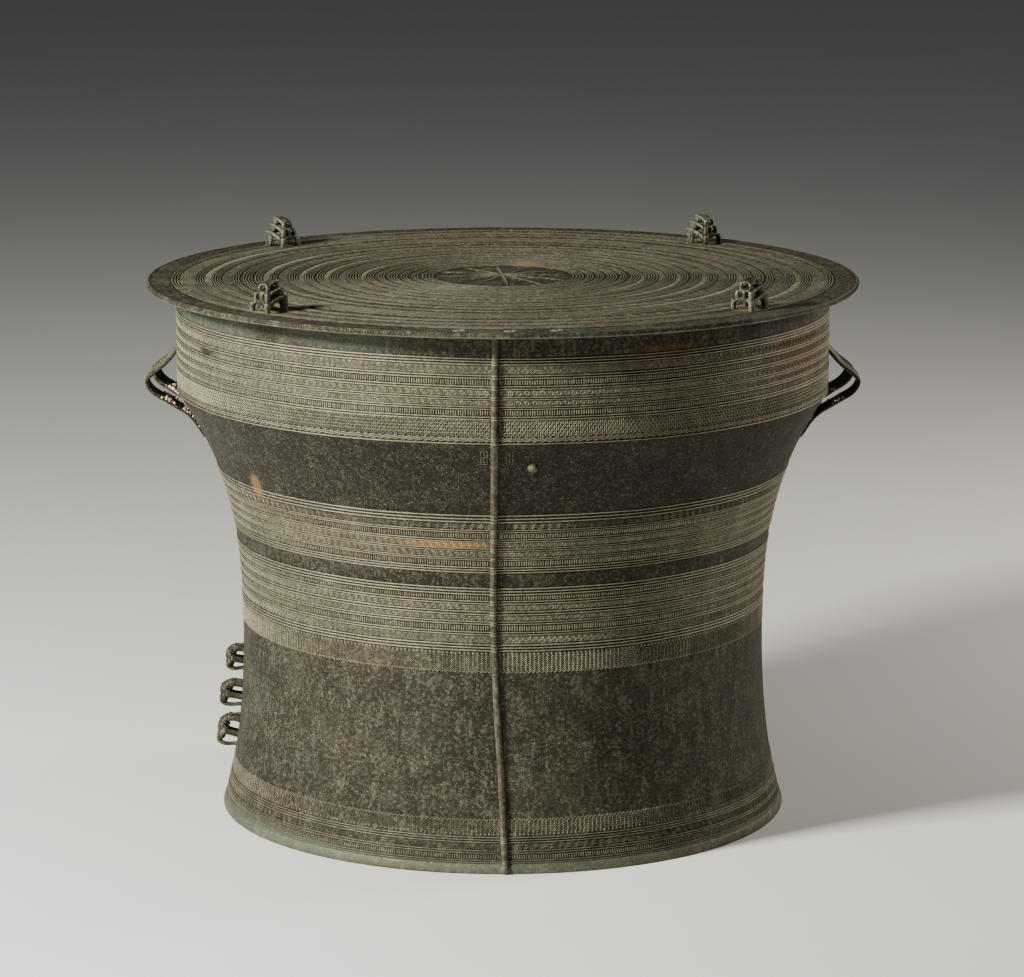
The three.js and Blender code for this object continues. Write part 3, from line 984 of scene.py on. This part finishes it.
def strap(form, fittings, turn):
    """A strap handle with plaited ribs on its outer face.

    Across the strap each rib is a half-round. Along it, a wave that runs slantwise to each side of the rib's
    middle, half a step apart, lays two strands over each other.
    """
    steps = 150
    path = curve(strap_route(form, fittings), steps)
    along = unit(np.gradient(path, axis=0))
    normal = np.stack([-along[:, 1], along[:, 0]], -1)
    travel = np.concatenate([[0], np.cumsum(np.linalg.norm(np.diff(path, axis=0), axis=1))])
    half, thick, ribs = fittings.strap_width / 2, fittings.strap_thickness / 2, 3
    side = np.linspace(-1, 1, 25)
    within = ((side + 1) / 2 * ribs) % 1 * 2 - 1
    round_rib = np.sqrt(np.clip(1 - within**2, 0, 1))
    phase = travel[:, None] / fittings.rib_pitch - 0.55 * np.abs(within) + 0.5 * (within > 0)
    strand = 0.5 + 0.5 * np.cos(FULL_TURN * phase)
    plait = round_rib * (0.45 + 0.55 * strand)
    outer = thick + fittings.rib_relief * plait - 0.15 * thick * side**8
    back_side = np.linspace(1, -1, 9)
    inner = np.broadcast_to(-thick + 0.35 * thick * back_side**6, (len(path), len(back_side)))
    out = np.concatenate([outer, inner], 1)
    across = np.concatenate([side, back_side]) * half
    sections = turned(path[:, :1] + normal[:, :1] * out, across, path[:, 1:] + normal[:, 1:] * out, turn)
    wear = np.concatenate([np.clip(2.0 * plait - 1.0, -1, 0.8), np.full(inner.shape, -0.3)], 1)
    metal = Metal()
    metal.add_solid(*tube(sections), np.concatenate([wear.ravel(), [0, 0]]))
    return metal


def strap_crust(metal, form, fittings, turn, count, rng):
    """Rough lumps on the inner face of a strap's lower half: one cluster, and a strip near the wall."""
    steps = 200
    path = curve(strap_route(form, fittings), steps)
    along = unit(np.gradient(path, axis=0))
    middle, spread = 139, 4.5
    last, strip = steps - 2, 38
    cluster = rng.random(count) < 0.3
    in_cluster = rng.normal(middle, spread, count)
    in_strip = last - strip * rng.beta(1.3, 1.3, count)
    spot = np.where(cluster, in_cluster, in_strip).astype(int)
    inward = -np.stack([-along[spot, 1], along[spot, 0]], -1)
    lump = rng.uniform(0.6, 1.35, count) * MM
    centre = path[spot] + inward * (rng.uniform(0.2, 0.75, count) * fittings.strap_thickness)[:, None]
    edge = rng.choice([-1.0, 1.0], count)
    at_edge = rng.random(count) < 0.6
    near_edge = edge * rng.uniform(0.85, 1.02, count)
    across = np.where(at_edge, near_edge, rng.uniform(-0.85, 0.85, count))
    places = turned(centre[:, 0], across * fittings.strap_width / 2, centre[:, 1], turn)
    for place, radius in zip(places, lump):
        points, faces = ball(place, radius * rng.uniform(0.7, 1.2, 3), 6, 8)
        metal.add_solid(points + rng.uniform(-0.16, 0.16, points.shape) * radius, faces, 0.3)


def fused(metal, voxel, rounds):
    """One skin over overlapping bodies, as points and quads: a voxel remesh, then rounds of smoothing."""
    mesh = metal.mesh("fused")
    lump = bpy.data.objects.new("fused", mesh)
    bpy.context.scene.collection.objects.link(lump)
    remesh = lump.modifiers.new("skin", "REMESH")
    remesh.mode = "VOXEL"
    remesh.voxel_size = voxel
    smooth = lump.modifiers.new("soften", "SMOOTH")
    smooth.factor = 0.5
    smooth.iterations = rounds
    skin = lump.evaluated_get(bpy.context.evaluated_depsgraph_get()).to_mesh()
    points = np.zeros(len(skin.vertices) * 3, np.float32)
    skin.vertices.foreach_get("co", points)
    corners = np.zeros(len(skin.loops), np.int32)
    skin.loops.foreach_get("vertex_index", corners)
    lump.to_mesh_clear()
    bpy.data.objects.remove(lump)
    bpy.data.meshes.remove(mesh)
    return points.reshape(-1, 3).astype(float), corners.reshape(-1, 4)


def proudness(points, quads, span):
    """Wear from form: how far each point stands out from its neighbours along its normal, over a span."""
    edges = np.concatenate([quads[:, [i, (i + 1) % 4]] for i in range(4)])
    count = np.bincount(edges[:, 0], minlength=len(points))[:, None]
    near = np.stack(
        [np.bincount(edges[:, 0], points[edges[:, 1], axis], len(points)) for axis in range(3)], -1
    )
    across = np.cross(points[quads[:, 2]] - points[quads[:, 0]], points[quads[:, 3]] - points[quads[:, 1]])
    corners, shares = quads.T.ravel(), np.tile(across, (4, 1))
    normal = np.stack([np.bincount(corners, shares[:, axis], len(points)) for axis in range(3)], -1)
    proud = np.einsum("ij,ij->i", points - near / np.maximum(count, 1), unit(normal + 1e-12))
    return np.clip(proud / span, -1, 1)


def frog(metal, size, base, root, rear_post):
    """One frog that faces +X: a back that rises to a high head, four legs, side bands with points, bead eyes.

    Places are in shares of its length, width and height, and half-widths in shares of the first two.
    """
    scale = np.array(size)
    long, wide, high = size
    floor = -root / high

    def add(route, halves, across, sides=12):
        points = np.array(route) * scale + (0, 0, base)
        metal.add_solid(*limb(points, np.array(halves), np.array(across, float), 18, sides), 0.0)

    back = [
        (-0.46, 0, 0.55), (-0.24, 0, 0.66), (0.06, 0, 0.76),
        (0.3, 0, 0.84), (0.46, 0, 0.88), (0.56, 0, 0.9),
    ]
    spread = [(0.42, 0.12), (0.44, 0.12), (0.42, 0.12), (0.36, 0.11), (0.28, 0.08), (0.12, 0.05)]
    add(back, [(a * wide, b * high) for a, b in spread], (0, 1, 0), 18)
    arch = ((-0.4, 0.2), (-0.3, 0.5), (-0.12, 0.72), (0.12, 0.72), (0.3, 0.5), (0.4, 0.2))
    brow = [(0.44, y, z) for y, z in arch]
    add(brow, [(0.08 * long, 0.12 * high)] * 6, (1, 0, 0))
    if rear_post:
        post = [(-0.46, 0, 0.55), (-0.47, 0, 0.25), (-0.46, 0, floor)]
        add(post, [(0.07 * long, 0.1 * wide)] * 3, (1, 0, 0))
    for side in (-1, 1):
        front = [(0.3, side * 0.38, 0.82), (0.34, side * 0.42, 0.45), (0.35, side * 0.44, floor)]
        taper = [(0.27 * long, 0.09 * wide), (0.2 * long, 0.09 * wide), (0.14 * long, 0.08 * wide)]
        add(front, taper, (1, 0, 0))
        for aside in (-0.13, -0.02, 0.09):
            rib = [(x + aside, y * 1.12, z) for x, y, z in front]
            add(rib, [(0.6 * MM, 0.7 * MM)] * 3, (1, 0, 0), 8)
        hind = [(-0.44, side * 0.38, 0.56), (-0.46, side * 0.43, 0.3), (-0.45, side * 0.43, floor)]
        add(hind, [(0.11 * long, 0.12 * wide)] * 3, (1, 0, 0))
        band = [
            (-0.42, side * 0.44, 0.1), (-0.36, side * 0.45, 0.4), (-0.2, side * 0.44, 0.62),
            (0.06, side * 0.43, 0.77), (0.32, side * 0.42, 0.87),
            (0.5, side * 0.41, 0.92), (0.61, side * 0.4, 0.94),
        ]
        thick = (0.11, 0.12, 0.13, 0.13, 0.11, 0.07, 0.03)
        add(band, [(0.5 * share * wide, share * high) for share in thick], (0, 1, 0))
        curl = [
            (-0.2, side * 0.36, 0.16), (-0.12, side * 0.4, 0.34),
            (0.02, side * 0.38, 0.3), (0.0, side * 0.36, 0.14),
        ]
        add(curl, [(0.035 * wide, 0.04 * high)] * 4, (0, 1, 0), 8)
        toe = [(0.34, side * 0.43, 0.06), (0.44, side * 0.46, 0.04), (0.52, side * 0.48, floor / 2)]
        add(toe, [(0.08 * wide, 0.06 * high)] * 3, (0, 1, 0))
        eye = np.array((0.36, side * 0.3, 0.89)) * scale + (0, 0, base)
        metal.add_solid(*ball(eye, np.full(3, 0.06 * high + 0.5 * MM), 8, 10), 0.0)


def frog_stack(root):
    """Three frogs, each on the back of the one below, as one skin that stands at the origin and faces +X."""
    gathered = Metal()
    base = 0.0
    for number, tier in enumerate(FROG_TIERS):
        size = np.array(tier) * MM
        frog(gathered, size, base, root, rear_post=number == 1)
        base += FROG_SEAT * size[2]
    return fused(gathered, FROG_CELL, 2)


def elephant(size, reach, width, root, tail):
    """One elephant on the plane x = 0 that walks down -Z with its back along +X, as one skin.

    Routes are in shares of its reach from the wall and of its length.
    """
    metal = Metal()
    scale = np.array([reach, 1.0, size])

    def add(route, halves, across=(0, 1, 0), sides=14):
        body = limb(np.array(route) * scale, np.array(halves) * MM, np.array(across, float), 18, sides)
        metal.add_solid(*body, 0.0)

    half = width / 2 / MM
    wall = -root / reach
    add(
        [(0.38, 0, 0.40), (0.58, 0, 0.36), (0.76, 0, 0.22), (0.81, 0, 0.04), (0.76, 0, -0.12)],
        [(0.75 * half, 3.2), (0.95 * half, 4.0), (1.05 * half, 4.4), (1.05 * half, 4.2), (0.9 * half, 3.4)],
    )
    for aside in (-0.46 * width, 0.46 * width):
        hind = [(0.56, aside, 0.38), (0.25, aside, 0.4), (wall, aside, 0.37)]
        add(hind, [(2.6, 3.5), (2.4, 2.9), (2.5, 3.1)])
        fore = [(0.72, aside, -0.04), (0.38, aside, -0.06), (wall, aside, -0.1)]
        add(fore, [(2.6, 3.5), (2.4, 2.8), (2.5, 3.0)])
        ear = [(0.66, 1.02 * aside, -0.02), (0.76, 1.22 * aside, -0.1), (0.8, 1.12 * aside, -0.22)]
        add(ear, [(0.8, 1.2), (0.9, 2.6), (0.7, 1.0)])
        eye = np.array((0.93, 0.8 * aside, -0.22)) * scale
        metal.add_solid(*ball(eye, np.full(3, 0.9 * MM), 8, 10), 0.0)
    skull = np.array((0.79, 0, -0.19)) * scale
    metal.add_solid(*ball(skull, np.array((4.4, 0.95 * half, 5.0)) * MM, 12, 16), 0.0)
    trunk_line = [
        (0.86, 0, -0.27), (0.84, 0, -0.39), (0.64, 0, -0.46),
        (0.36, 0, -0.46), (0.15, 0, -0.43), (wall, 0, -0.42),
    ]
    add(trunk_line, [(3.2, 3.0), (2.6, 2.5), (2.2, 2.1), (2.0, 1.9), (2.0, 1.9), (2.3, 2.2)])
    for shift in (0.0, 0.11):
        girth = [(x, 0, z + shift) for x, z in ((0.42, 0.05), (0.62, 0.11), (0.84, 0.17), (0.97, 0.2))]
        add(girth, [(0.7 * half, 0.7), (1.12 * half, 0.8), (1.1 * half, 0.8), (0.6 * half, 0.6)])
    if tail:
        add([(0.5, 0, 0.46), (0.24, 0, 0.52), (wall, 0, 0.58)], [(1.2, 1.1), (0.9, 0.9), (0.9, 0.9)])
    return fused(metal, ELEPHANT_CELL, 2)


class Wire:
    """A node socket that arithmetic works on. An expression on values adds the Math nodes that it needs."""

    def __init__(self, tree, socket):
        self.tree = tree
        self.socket = socket

    def maths(self, operation, *values, clamp=False):
        """A Math node of this operation on the values in their order."""
        node = self.tree.nodes.new("ShaderNodeMath")
        node.operation = operation
        node.use_clamp = clamp
        for socket, value in zip(node.inputs, values):
            if isinstance(value, Wire):
                self.tree.links.new(value.socket, socket)
            else:
                socket.default_value = value
        return Wire(self.tree, node.outputs[0])

    def __add__(self, other):
        return self.maths("ADD", self, other)

    def __sub__(self, other):
        return self.maths("SUBTRACT", self, other)

    def __rsub__(self, other):
        return self.maths("SUBTRACT", other, self)

    def __mul__(self, other):
        return self.maths("MULTIPLY", self, other)

    __radd__ = __add__
    __rmul__ = __mul__

    def clamped(self):
        """The value held between 0 and 1."""
        return self.maths("ADD", self, 0.0, clamp=True)


# Strength of the reflection of all finishes, which are dusty. Blender's own is 0.5.
DULL_REFLECTION = 0.25


class Finish:
    """One material's nodes."""

    def __init__(self, name):
        self.material = bpy.data.materials.new(name)
        self.material.use_nodes = True
        self.tree = self.material.node_tree
        self.tree.nodes.clear()

    def node(self, kind, settings=None, values=None, output=0):
        """Adds a node, sets it up, then fills sockets, by name or number, with values or wires."""
        node = self.tree.nodes.new(kind)
        for name, value in (settings or {}).items():
            setattr(node, name, value)
        for key, value in (values or {}).items():
            if isinstance(value, Wire):
                self.tree.links.new(value.socket, node.inputs[key])
            else:
                node.inputs[key].default_value = value
        return Wire(self.tree, node.outputs[output]) if node.outputs else None

    def place(self):
        """Where the point is on the drum."""
        return self.node("ShaderNodeTexCoord", output="Object")

    def wear(self):
        """The piece's wear."""
        return self.node("ShaderNodeAttribute", {"attribute_name": "wear"}, output="Fac")

    def noise(self, place, scale, detail=4.0, roughness=0.55):
        """Cloudy noise about one half."""
        values = {"Vector": place, "Scale": scale, "Detail": detail, "Roughness": roughness}
        return self.node("ShaderNodeTexNoise", values=values)

    def step(self, value, low, high):
        """0 below low, 1 above high, and a smooth change between. With low above high it falls."""
        settings = {"interpolation_type": "SMOOTHSTEP"}
        values = {"Value": value, "From Min": low, "From Max": high}
        if low > high:
            values.update({"From Min": high, "From Max": low, "To Min": 1.0, "To Max": 0.0})
        return self.node("ShaderNodeMapRange", settings, values)

    def mix(self, first, second, share):
        """A colour between two colours."""
        values = {0: share}
        for key, value in ((6, first), (7, second)):
            values[key] = value if isinstance(value, Wire) else (*value, 1.0)
        return self.node("ShaderNodeMix", {"data_type": "RGBA"}, values, output=2)

    def stretched(self, place, factors):
        """The place with each axis scaled by its own factor."""
        return self.node("ShaderNodeVectorMath", {"operation": "MULTIPLY"}, {0: place, 1: factors})

    def patch(self, place, centre, radii, ragged):
        """1 in the middle of a ragged ellipsoid, falling to 0 at its edge."""
        away = self.node("ShaderNodeVectorMath", {"operation": "SUBTRACT"}, {0: place, 1: centre})
        scaled = self.stretched(away, [1 / radius for radius in radii])
        distance = self.node("ShaderNodeVectorMath", {"operation": "LENGTH"}, {0: scaled}, output="Value")
        return self.step(distance + (ragged - 0.5) * 1.6, 1.1, 0.45)

    def shade(self, base, roughness, metallic, relief, depth):
        """The shader: base colour, roughness, metallic and a bump from the relief, its depth in metres."""
        values = {"Height": relief, "Distance": depth, "Strength": 0.7}
        bump = self.node("ShaderNodeBump", values=values)
        values = {"Base Color": base, "Roughness": roughness, "Metallic": metallic, "Normal": bump}
        values["Specular IOR Level"] = DULL_REFLECTION
        shader = self.node("ShaderNodeBsdfPrincipled", values=values)
        self.node("ShaderNodeOutputMaterial", values={"Surface": shader})
        return self.material


def spot(form, azimuth_degrees, level):
    """A point of the plain trunk, for placing a patch."""
    return polar(math.radians(azimuth_degrees), trunk_radius(form, level), level)


def patina(name, colours, patches, green):
    """Aged bronze.

    Broad clouds run from umber to olive, and a pale film lies over them in blotches and upright streaks.
    Crests are worn pale and hollows hold soil, and the same two mixes give a painted highlight and painted
    shade where a piece's wear is set for them. Each patch is a colour, a centre, its radii and a strength.
    """
    finish = Finish(name)
    place = finish.place()
    wear = finish.wear()
    broad = finish.noise(place, 11.0, 5.0, 0.6)
    blotch = finish.noise(place, 46.0, 6.0, 0.66)
    fine = finish.noise(place, 300.0, 5.0, 0.7)
    speck = finish.noise(place, 760.0, 2.0, 0.6)
    streak = finish.noise(finish.stretched(place, (170.0, 170.0, 26.0)), 1.0, 4.0, 0.65)
    cloud = broad * 0.3 + blotch * 0.14 + fine * 0.56
    base = finish.mix(colours.umber, colours.olive, finish.step(cloud, 0.4, 0.6))
    film = finish.step(blotch * 0.12 + fine * 0.56 + streak * 0.32, 0.49, 0.6)
    base = finish.mix(base, colours.ash, (film * 0.42).clamped())
    tint = finish.step(finish.noise(place, 19.0, 5.0, 0.65) * 0.7 + streak * 0.3, 0.5, 0.64)
    base = finish.mix(base, colours.verdigris, (tint * (0.10 + green)).clamped())
    scratch = finish.noise(finish.stretched(place, (14.0, 14.0, 420.0)), 1.0, 5.0, 0.7)
    base = finish.mix(base, colours.ash, finish.step(scratch * 0.7 + blotch * 0.3, 0.58, 0.66) * 0.4)
    # Pale worn crests, and the painted highlight where the wear is set high for it.
    rubbed_and_painted_highlight = wear.clamped() * (0.8 * blotch + 0.9 * fine - 0.02)
    base = finish.mix(base, colours.crest, rubbed_and_painted_highlight.clamped())
    # Soil in the hollows, and painted shade where the wear is set low for it.
    soil_and_shade_share = (0 - wear).clamped() * (1.7 - 1.5 * fine - 0.2 * blotch)
    base = finish.mix(base, colours.soil_and_shade, soil_and_shade_share.clamped())
    for patch_colour, centre, radii, strength in patches:
        mask = finish.patch(place, centre, radii, fine * 0.5 + blotch * 0.5)
        base = finish.mix(base, patch_colour, mask * strength)
    bright = finish.step(speck * 0.85 + blotch * 0.15, 0.6, 0.66)
    base = finish.mix(base, colours.crest, bright * 0.5)
    pits = finish.step(finish.noise(place, 520.0, 3.0, 0.5), 0.4, 0.3)
    base = finish.mix(base, colours.soil_and_shade, pits * 0.5)
    roughness = 0.56 + 0.26 * fine - 0.12 * wear.clamped()
    metallic = (0.48 + 0.18 * wear.clamped() - 0.1 * film).clamped()
    relief = 0.5 * fine + 0.25 * speck + 0.3 * blotch - 0.5 * pits
    return finish.shade(base, roughness, metallic, relief, 0.4 * MM)


def crust_finish(colours):
    """Pale tan lumps with darker dirt between them."""
    finish = Finish("tan_crust")
    place = finish.place()
    cloud = finish.noise(place, 320.0, 4.0, 0.6)
    base = finish.mix(colours.rust, colours.crust, finish.step(cloud, 0.3, 0.46))
    return finish.shade(base, 0.85 + 0.1 * cloud, 0.05 * cloud, cloud, 0.5 * MM)


def floor_finish(floor_colour):
    """Plain pale floor with a barely seen unevenness."""
    finish = Finish("pale_floor")
    cloud = finish.noise(finish.place(), 3.0, 3.0, 0.5)
    darker = [0.94 * value for value in floor_colour]
    base = finish.mix(darker, floor_colour, cloud)
    return finish.shade(base, 0.7 + 0.1 * cloud, 0.0 * cloud, cloud, 0.2 * MM)


def trunk_patches(form, colours):
    """Patches of colour on the trunk: what, where, how large and how strong."""
    return (
        (colours.ochre, spot(form, -102, 0.2985), (0.050, 0.05, 0.0035), 0.6),
        (colours.ochre, spot(form, -146, 0.332), (0.008, 0.012, 0.016), 0.35),
        (colours.rust, spot(form, -28, 0.452), (0.06, 0.08, 0.028), 0.4),
        (colours.rust, spot(form, -62, 0.474), (0.05, 0.04, 0.008), 0.35),
        (colours.soil_and_shade, spot(form, -151.6, 0.452), (0.012, 0.018, 0.004), 0.8),
        (colours.verdigris, spot(form, -152, 0.484), (0.09, 0.12, 0.014), 0.32),
        (colours.verdigris, spot(form, -118, 0.484), (0.09, 0.06, 0.012), 0.28),
        # A broad umber patch low on the trunk: painted shade that darkens the foot, which faces up into the
        # light.
        (colours.umber, (0, 0, 0.012), (0.5, 0.5, 0.034), 0.15),
        (colours.verdigris, spot(form, -150, 0.006), (0.16, 0.18, 0.012), 0.32),
        (colours.verdigris, spot(form, -80, 0.005), (0.16, 0.1, 0.008), 0.28),
    )


def head_patches(form, colours):
    """Patches of colour on the head."""
    top = form.collar_top + form.head_edge
    frogs_reach = 0.291
    feet = [
        (tone, polar(math.radians(degrees), frogs_reach, top), (0.018, 0.018, 0.006), 0.35)
        for (degrees, _), tone in zip(FROG_STACKS, (colours.rust, colours.rust, colours.ochre, colours.ochre))
    ]
    return (
        (colours.soil_and_shade, (-0.037, 0.012, top), (0.016, 0.02, 0.01), 0.5),
        (colours.ochre, (0.022, 0.075, top), (0.018, 0.02, 0.01), 0.25),
        *feet,
    )


def frog_patches(form, colours):
    """Red-brown metal inside the frogs."""
    height = form.collar_top + form.head_edge + 7 * MM
    reach = 0.293
    centres = [polar(math.radians(degrees), reach, height) for degrees, _ in FROG_STACKS]
    return [(colours.rust, centre, (0.0105, 0.0105, 0.013), 0.9) for centre in centres]


# Each patina's patches, and how much more green it has than the trunk.
PATINAS = {
    "trunk_patina": (trunk_patches, 0.0),
    "head_patina": (head_patches, 0.22),
    "fitting_patina": (frog_patches, 0.5),
}


def finish_named(name):
    """The material of that name, made once: a patina or the tan crust."""
    found = bpy.data.materials.get(name)
    if found:
        return found
    scene = bpy.context.scene
    if name not in PATINAS:
        return crust_finish(scene.drum_patina)
    patches, green = PATINAS[name]
    return patina(name, scene.drum_patina, patches(scene.drum_form, scene.drum_patina), green)


class DRUM_OT_head(Operator):
    """Makes the head with its rings, edge, star and stamped bands."""

    bl_idname = "drum.head"
    bl_label = "Head"

    def execute(self, context):
        form, relief = context.scene.drum_form, context.scene.drum_relief
        finish = finish_named("head_patina")
        head(form, relief).piece("head", finish)
        star(form, relief).piece("head_star", finish, smooth=False)
        bands = Metal()
        stamp_bands(bands, head_surface(form), HEAD_TOP_RADIUS, HEAD_BANDS, relief, relief.head_stamp, SEED)
        bands.faded(0.3).piece("head_bands", finish, smooth=False)
        head_motifs(form).piece("head_rosettes", finish, smooth=False)
        edge_rope(form).piece("head_edge_rope", finish, smooth=False)
        return {"FINISHED"}


class DRUM_OT_trunk(Operator):
    """Makes the trunk with its raised lines, rounded foot and plain inside."""

    bl_idname = "drum.trunk"
    bl_label = "Trunk"

    def execute(self, context):
        trunk(context.scene.drum_form, context.scene.drum_relief).piece("trunk", finish_named("trunk_patina"))
        return {"FINISHED"}


class DRUM_OT_bands(Operator):
    """Stamps the bands of the trunk, one piece a zone."""

    bl_idname = "drum.bands"
    bl_label = "Stamped bands"

    def execute(self, context):
        form, relief = context.scene.drum_form, context.scene.drum_relief
        for number, (name, top, bands, _, share) in enumerate(ZONES):
            metal = Metal()
            seed = SEED + 1 + number
            stamp_bands(metal, trunk_surface(form), top, bands, relief, relief.stamp_relief, seed)
            metal.faded(share).piece(name, finish_named("trunk_patina"), smooth=False)
        return {"FINISHED"}


class DRUM_OT_seams(Operator):
    """Makes the two seam bars, the casting knob and the small square stamps."""

    bl_idname = "drum.seams"
    bl_label = "Seams"

    def execute(self, context):
        scene = context.scene
        form, relief, fittings = scene.drum_form, scene.drum_relief, scene.drum_fittings
        finish = finish_named("trunk_patina")
        for name, turn in (("front_seam", 0.0), ("back_seam", math.pi)):
            seam(form, relief, fittings, turn).piece(name, finish)
        casting_knob(form, fittings).piece("casting_knob", finish)
        seam_motifs(form).piece("seam_stamps", finish, smooth=False)
        return {"FINISHED"}


class DRUM_OT_handles(Operator):
    """Makes the four strap handles and the tan crust inside them."""

    bl_idname = "drum.handles"
    bl_label = "Handles"

    def execute(self, context):
        form, fittings = context.scene.drum_form, context.scene.drum_fittings
        rng = np.random.default_rng(SEED + 20)
        crust = Metal()
        for side_name, lumps in (("right", 40), ("left", 190)):
            for place_name, place in (("front", -0.5), ("back", 0.5)):
                turn = fittings.pair_turn + place * fittings.handle_spacing
                turn = turn if side_name == "right" else math.pi - turn
                name = f"{side_name}_{place_name}_handle"
                strap(form, fittings, turn).piece(name, finish_named("fitting_patina"))
                strap_crust(crust, form, fittings, turn, lumps, rng)
        crust.piece("handle_crust", finish_named("tan_crust"))
        return {"FINISHED"}


class DRUM_OT_frogs(Operator):
    """Makes the four stacks of frogs on the head."""

    bl_idname = "drum.frogs"
    bl_label = "Frogs"

    def execute(self, context):
        form, fittings = context.scene.drum_form, context.scene.drum_fittings
        points, quads = frog_stack(fittings.root)
        wear = 0.7 * proudness(points, quads, 0.07 * MM) - 0.3
        top = form.collar_top + form.head_edge
        for number, angles in enumerate(FROG_STACKS):
            turn, facing = map(math.radians, angles)
            metal = Metal()
            metal.add_solid(turned(*points.T, facing) + polar(turn, fittings.frog_circle, top), [quads], wear)
            metal.piece(f"frog_stack_{number + 1}", finish_named("fitting_patina"))
        return {"FINISHED"}


class DRUM_OT_elephants(Operator):
    """Makes the three elephants that walk down the trunk's left side."""

    bl_idname = "drum.elephants"
    bl_label = "Elephants"

    def execute(self, context):
        form, fittings = context.scene.drum_form, context.scene.drum_fittings
        # Each one's name, height on the trunk, length, reach from the wall and whether its tail is raised.
        rows = (
            ("upper_elephant", 0.136, 0.024, 0.016, True),
            ("middle_elephant", 0.101, 0.025, 0.021, False),
            ("lower_elephant", 0.065, 0.031, 0.0195, True),
        )
        for name, rise, size, reach, tail in rows:
            points, quads = elephant(size, reach, fittings.elephant_width, fittings.root, tail)
            spread = float(trunk_radius(form, rise - size / 2) - trunk_radius(form, rise + size / 2))
            lean = math.atan2(spread, size)
            cos, sin = math.cos(lean), math.sin(lean)
            leaned = points @ np.array([[cos, 0, sin], [0, 1, 0], [-sin, 0, cos]])
            placed = (leaned + (float(trunk_radius(form, rise)), 0, rise)) * (-1, -1, 1)
            metal = Metal()
            metal.add_solid(placed, [quads], 0.6 * proudness(points, quads, 0.053 * MM) - 0.25)
            metal.piece(name, finish_named("fitting_patina"))
        return {"FINISHED"}


def soft_light(name, azimuth, elevation, distance, size, power, tint):
    """A square light that faces the middle of the drum.

    Azimuth and elevation are in degrees. Azimuth 0 is in front, and grows to the right.
    """
    light = bpy.data.lights.new(name, "AREA")
    light.shape = "SQUARE"
    light.size = size
    light.energy = power
    light.color = tint
    lamp = bpy.data.objects.new(name, light)
    middle = Vector((0, 0, 0.27))
    turn, rise = math.radians(azimuth), math.radians(elevation)
    away = Vector((math.sin(turn) * math.cos(rise), -math.cos(turn) * math.cos(rise), math.sin(rise)))
    lamp.location = middle + away * distance
    lamp.rotation_euler = (-away).to_track_quat("-Z", "Y").to_euler()
    bpy.context.scene.collection.objects.link(lamp)


class DRUM_OT_stage(Operator):
    """Makes the pale floor, the soft lights and the camera."""

    bl_idname = "drum.stage"
    bl_label = "Stage"

    def execute(self, context):
        stage = context.scene.drum_stage
        mesh = bpy.data.meshes.new("floor")
        reach = 30.0
        corners = [(-reach, -reach, 0), (reach, -reach, 0), (reach, reach, 0), (-reach, reach, 0)]
        mesh.from_pydata(corners, [], [(0, 1, 2, 3)])
        floor = bpy.data.objects.new("floor", mesh)
        floor.data.materials.append(floor_finish(stage.floor_colour))
        context.scene.collection.objects.link(floor)
        soft_light("key", -56, 29, 2.6, 0.45, stage.key_power, (1.0, 0.97, 0.91))
        soft_light("side", 112, 22, 2.4, 0.7, stage.side_power, (1.0, 0.92, 0.82))
        soft_light("fill", -8, 38, 3.4, 1.6, stage.fill_power, (0.93, 0.97, 1.0))
        world = bpy.data.worlds.new("studio")
        world.use_nodes = True
        background = world.node_tree.nodes["Background"]
        background.inputs["Color"].default_value = (0.86, 0.88, 0.9, 1.0)
        background.inputs["Strength"].default_value = stage.sky
        context.scene.world = world
        lens = bpy.data.cameras.new("camera")
        lens.lens = stage.lens
        lens.shift_x = stage.shift
        camera = bpy.data.objects.new("camera", lens)
        camera.location = (0, -stage.camera_distance, stage.camera_height)
        camera.rotation_euler = (stage.camera_tilt, 0, 0)
        context.scene.collection.objects.link(camera)
        context.scene.camera = camera
        return {"FINISHED"}


OPERATORS = (
    DRUM_OT_stage,
    DRUM_OT_head,
    DRUM_OT_trunk,
    DRUM_OT_bands,
    DRUM_OT_seams,
    DRUM_OT_handles,
    DRUM_OT_frogs,
    DRUM_OT_elephants,
)
GROUPS = {
    "drum_form": DrumForm,
    "drum_relief": DrumRelief,
    "drum_fittings": DrumFittings,
    "drum_patina": DrumPatina,
    "drum_stage": DrumStage,
}


class DRUM_PT_panel(Panel):
    """Lists the drum's sizes, colours and steps."""

    bl_idname = "DRUM_PT_panel"
    bl_label = "Bronze Kettle Drum"
    bl_space_type = "VIEW_3D"
    bl_region_type = "UI"
    bl_category = "Drum"

    def draw(self, context):
        for attribute, group in GROUPS.items():
            box = self.layout.box()
            box.label(text=group.__doc__)
            for name in group.__annotations__:
                box.prop(getattr(context.scene, attribute), name)
        for operator in OPERATORS:
            self.layout.operator(operator.bl_idname)


def register():
    """Adds the classes and the scene's properties."""
    for group in GROUPS.values():
        bpy.utils.register_class(group)
    for operator in OPERATORS:
        bpy.utils.register_class(operator)
    bpy.utils.register_class(DRUM_PT_panel)
    for attribute, group in GROUPS.items():
        setattr(bpy.types.Scene, attribute, PointerProperty(type=group))


def unregister():
    """Takes the properties and the classes away again."""
    for attribute in GROUPS:
        delattr(bpy.types.Scene, attribute)
    bpy.utils.unregister_class(DRUM_PT_panel)
    for operator in reversed(OPERATORS):
        bpy.utils.unregister_class(operator)
    for group in reversed(GROUPS.values()):
        bpy.utils.unregister_class(group)


def main():
    """Registers the classes and runs every step in order."""
    register()
    for operator in OPERATORS:
        group, name = operator.bl_idname.split(".")
        getattr(getattr(bpy.ops, group), name)()


if __name__ == "__main__":
    main()
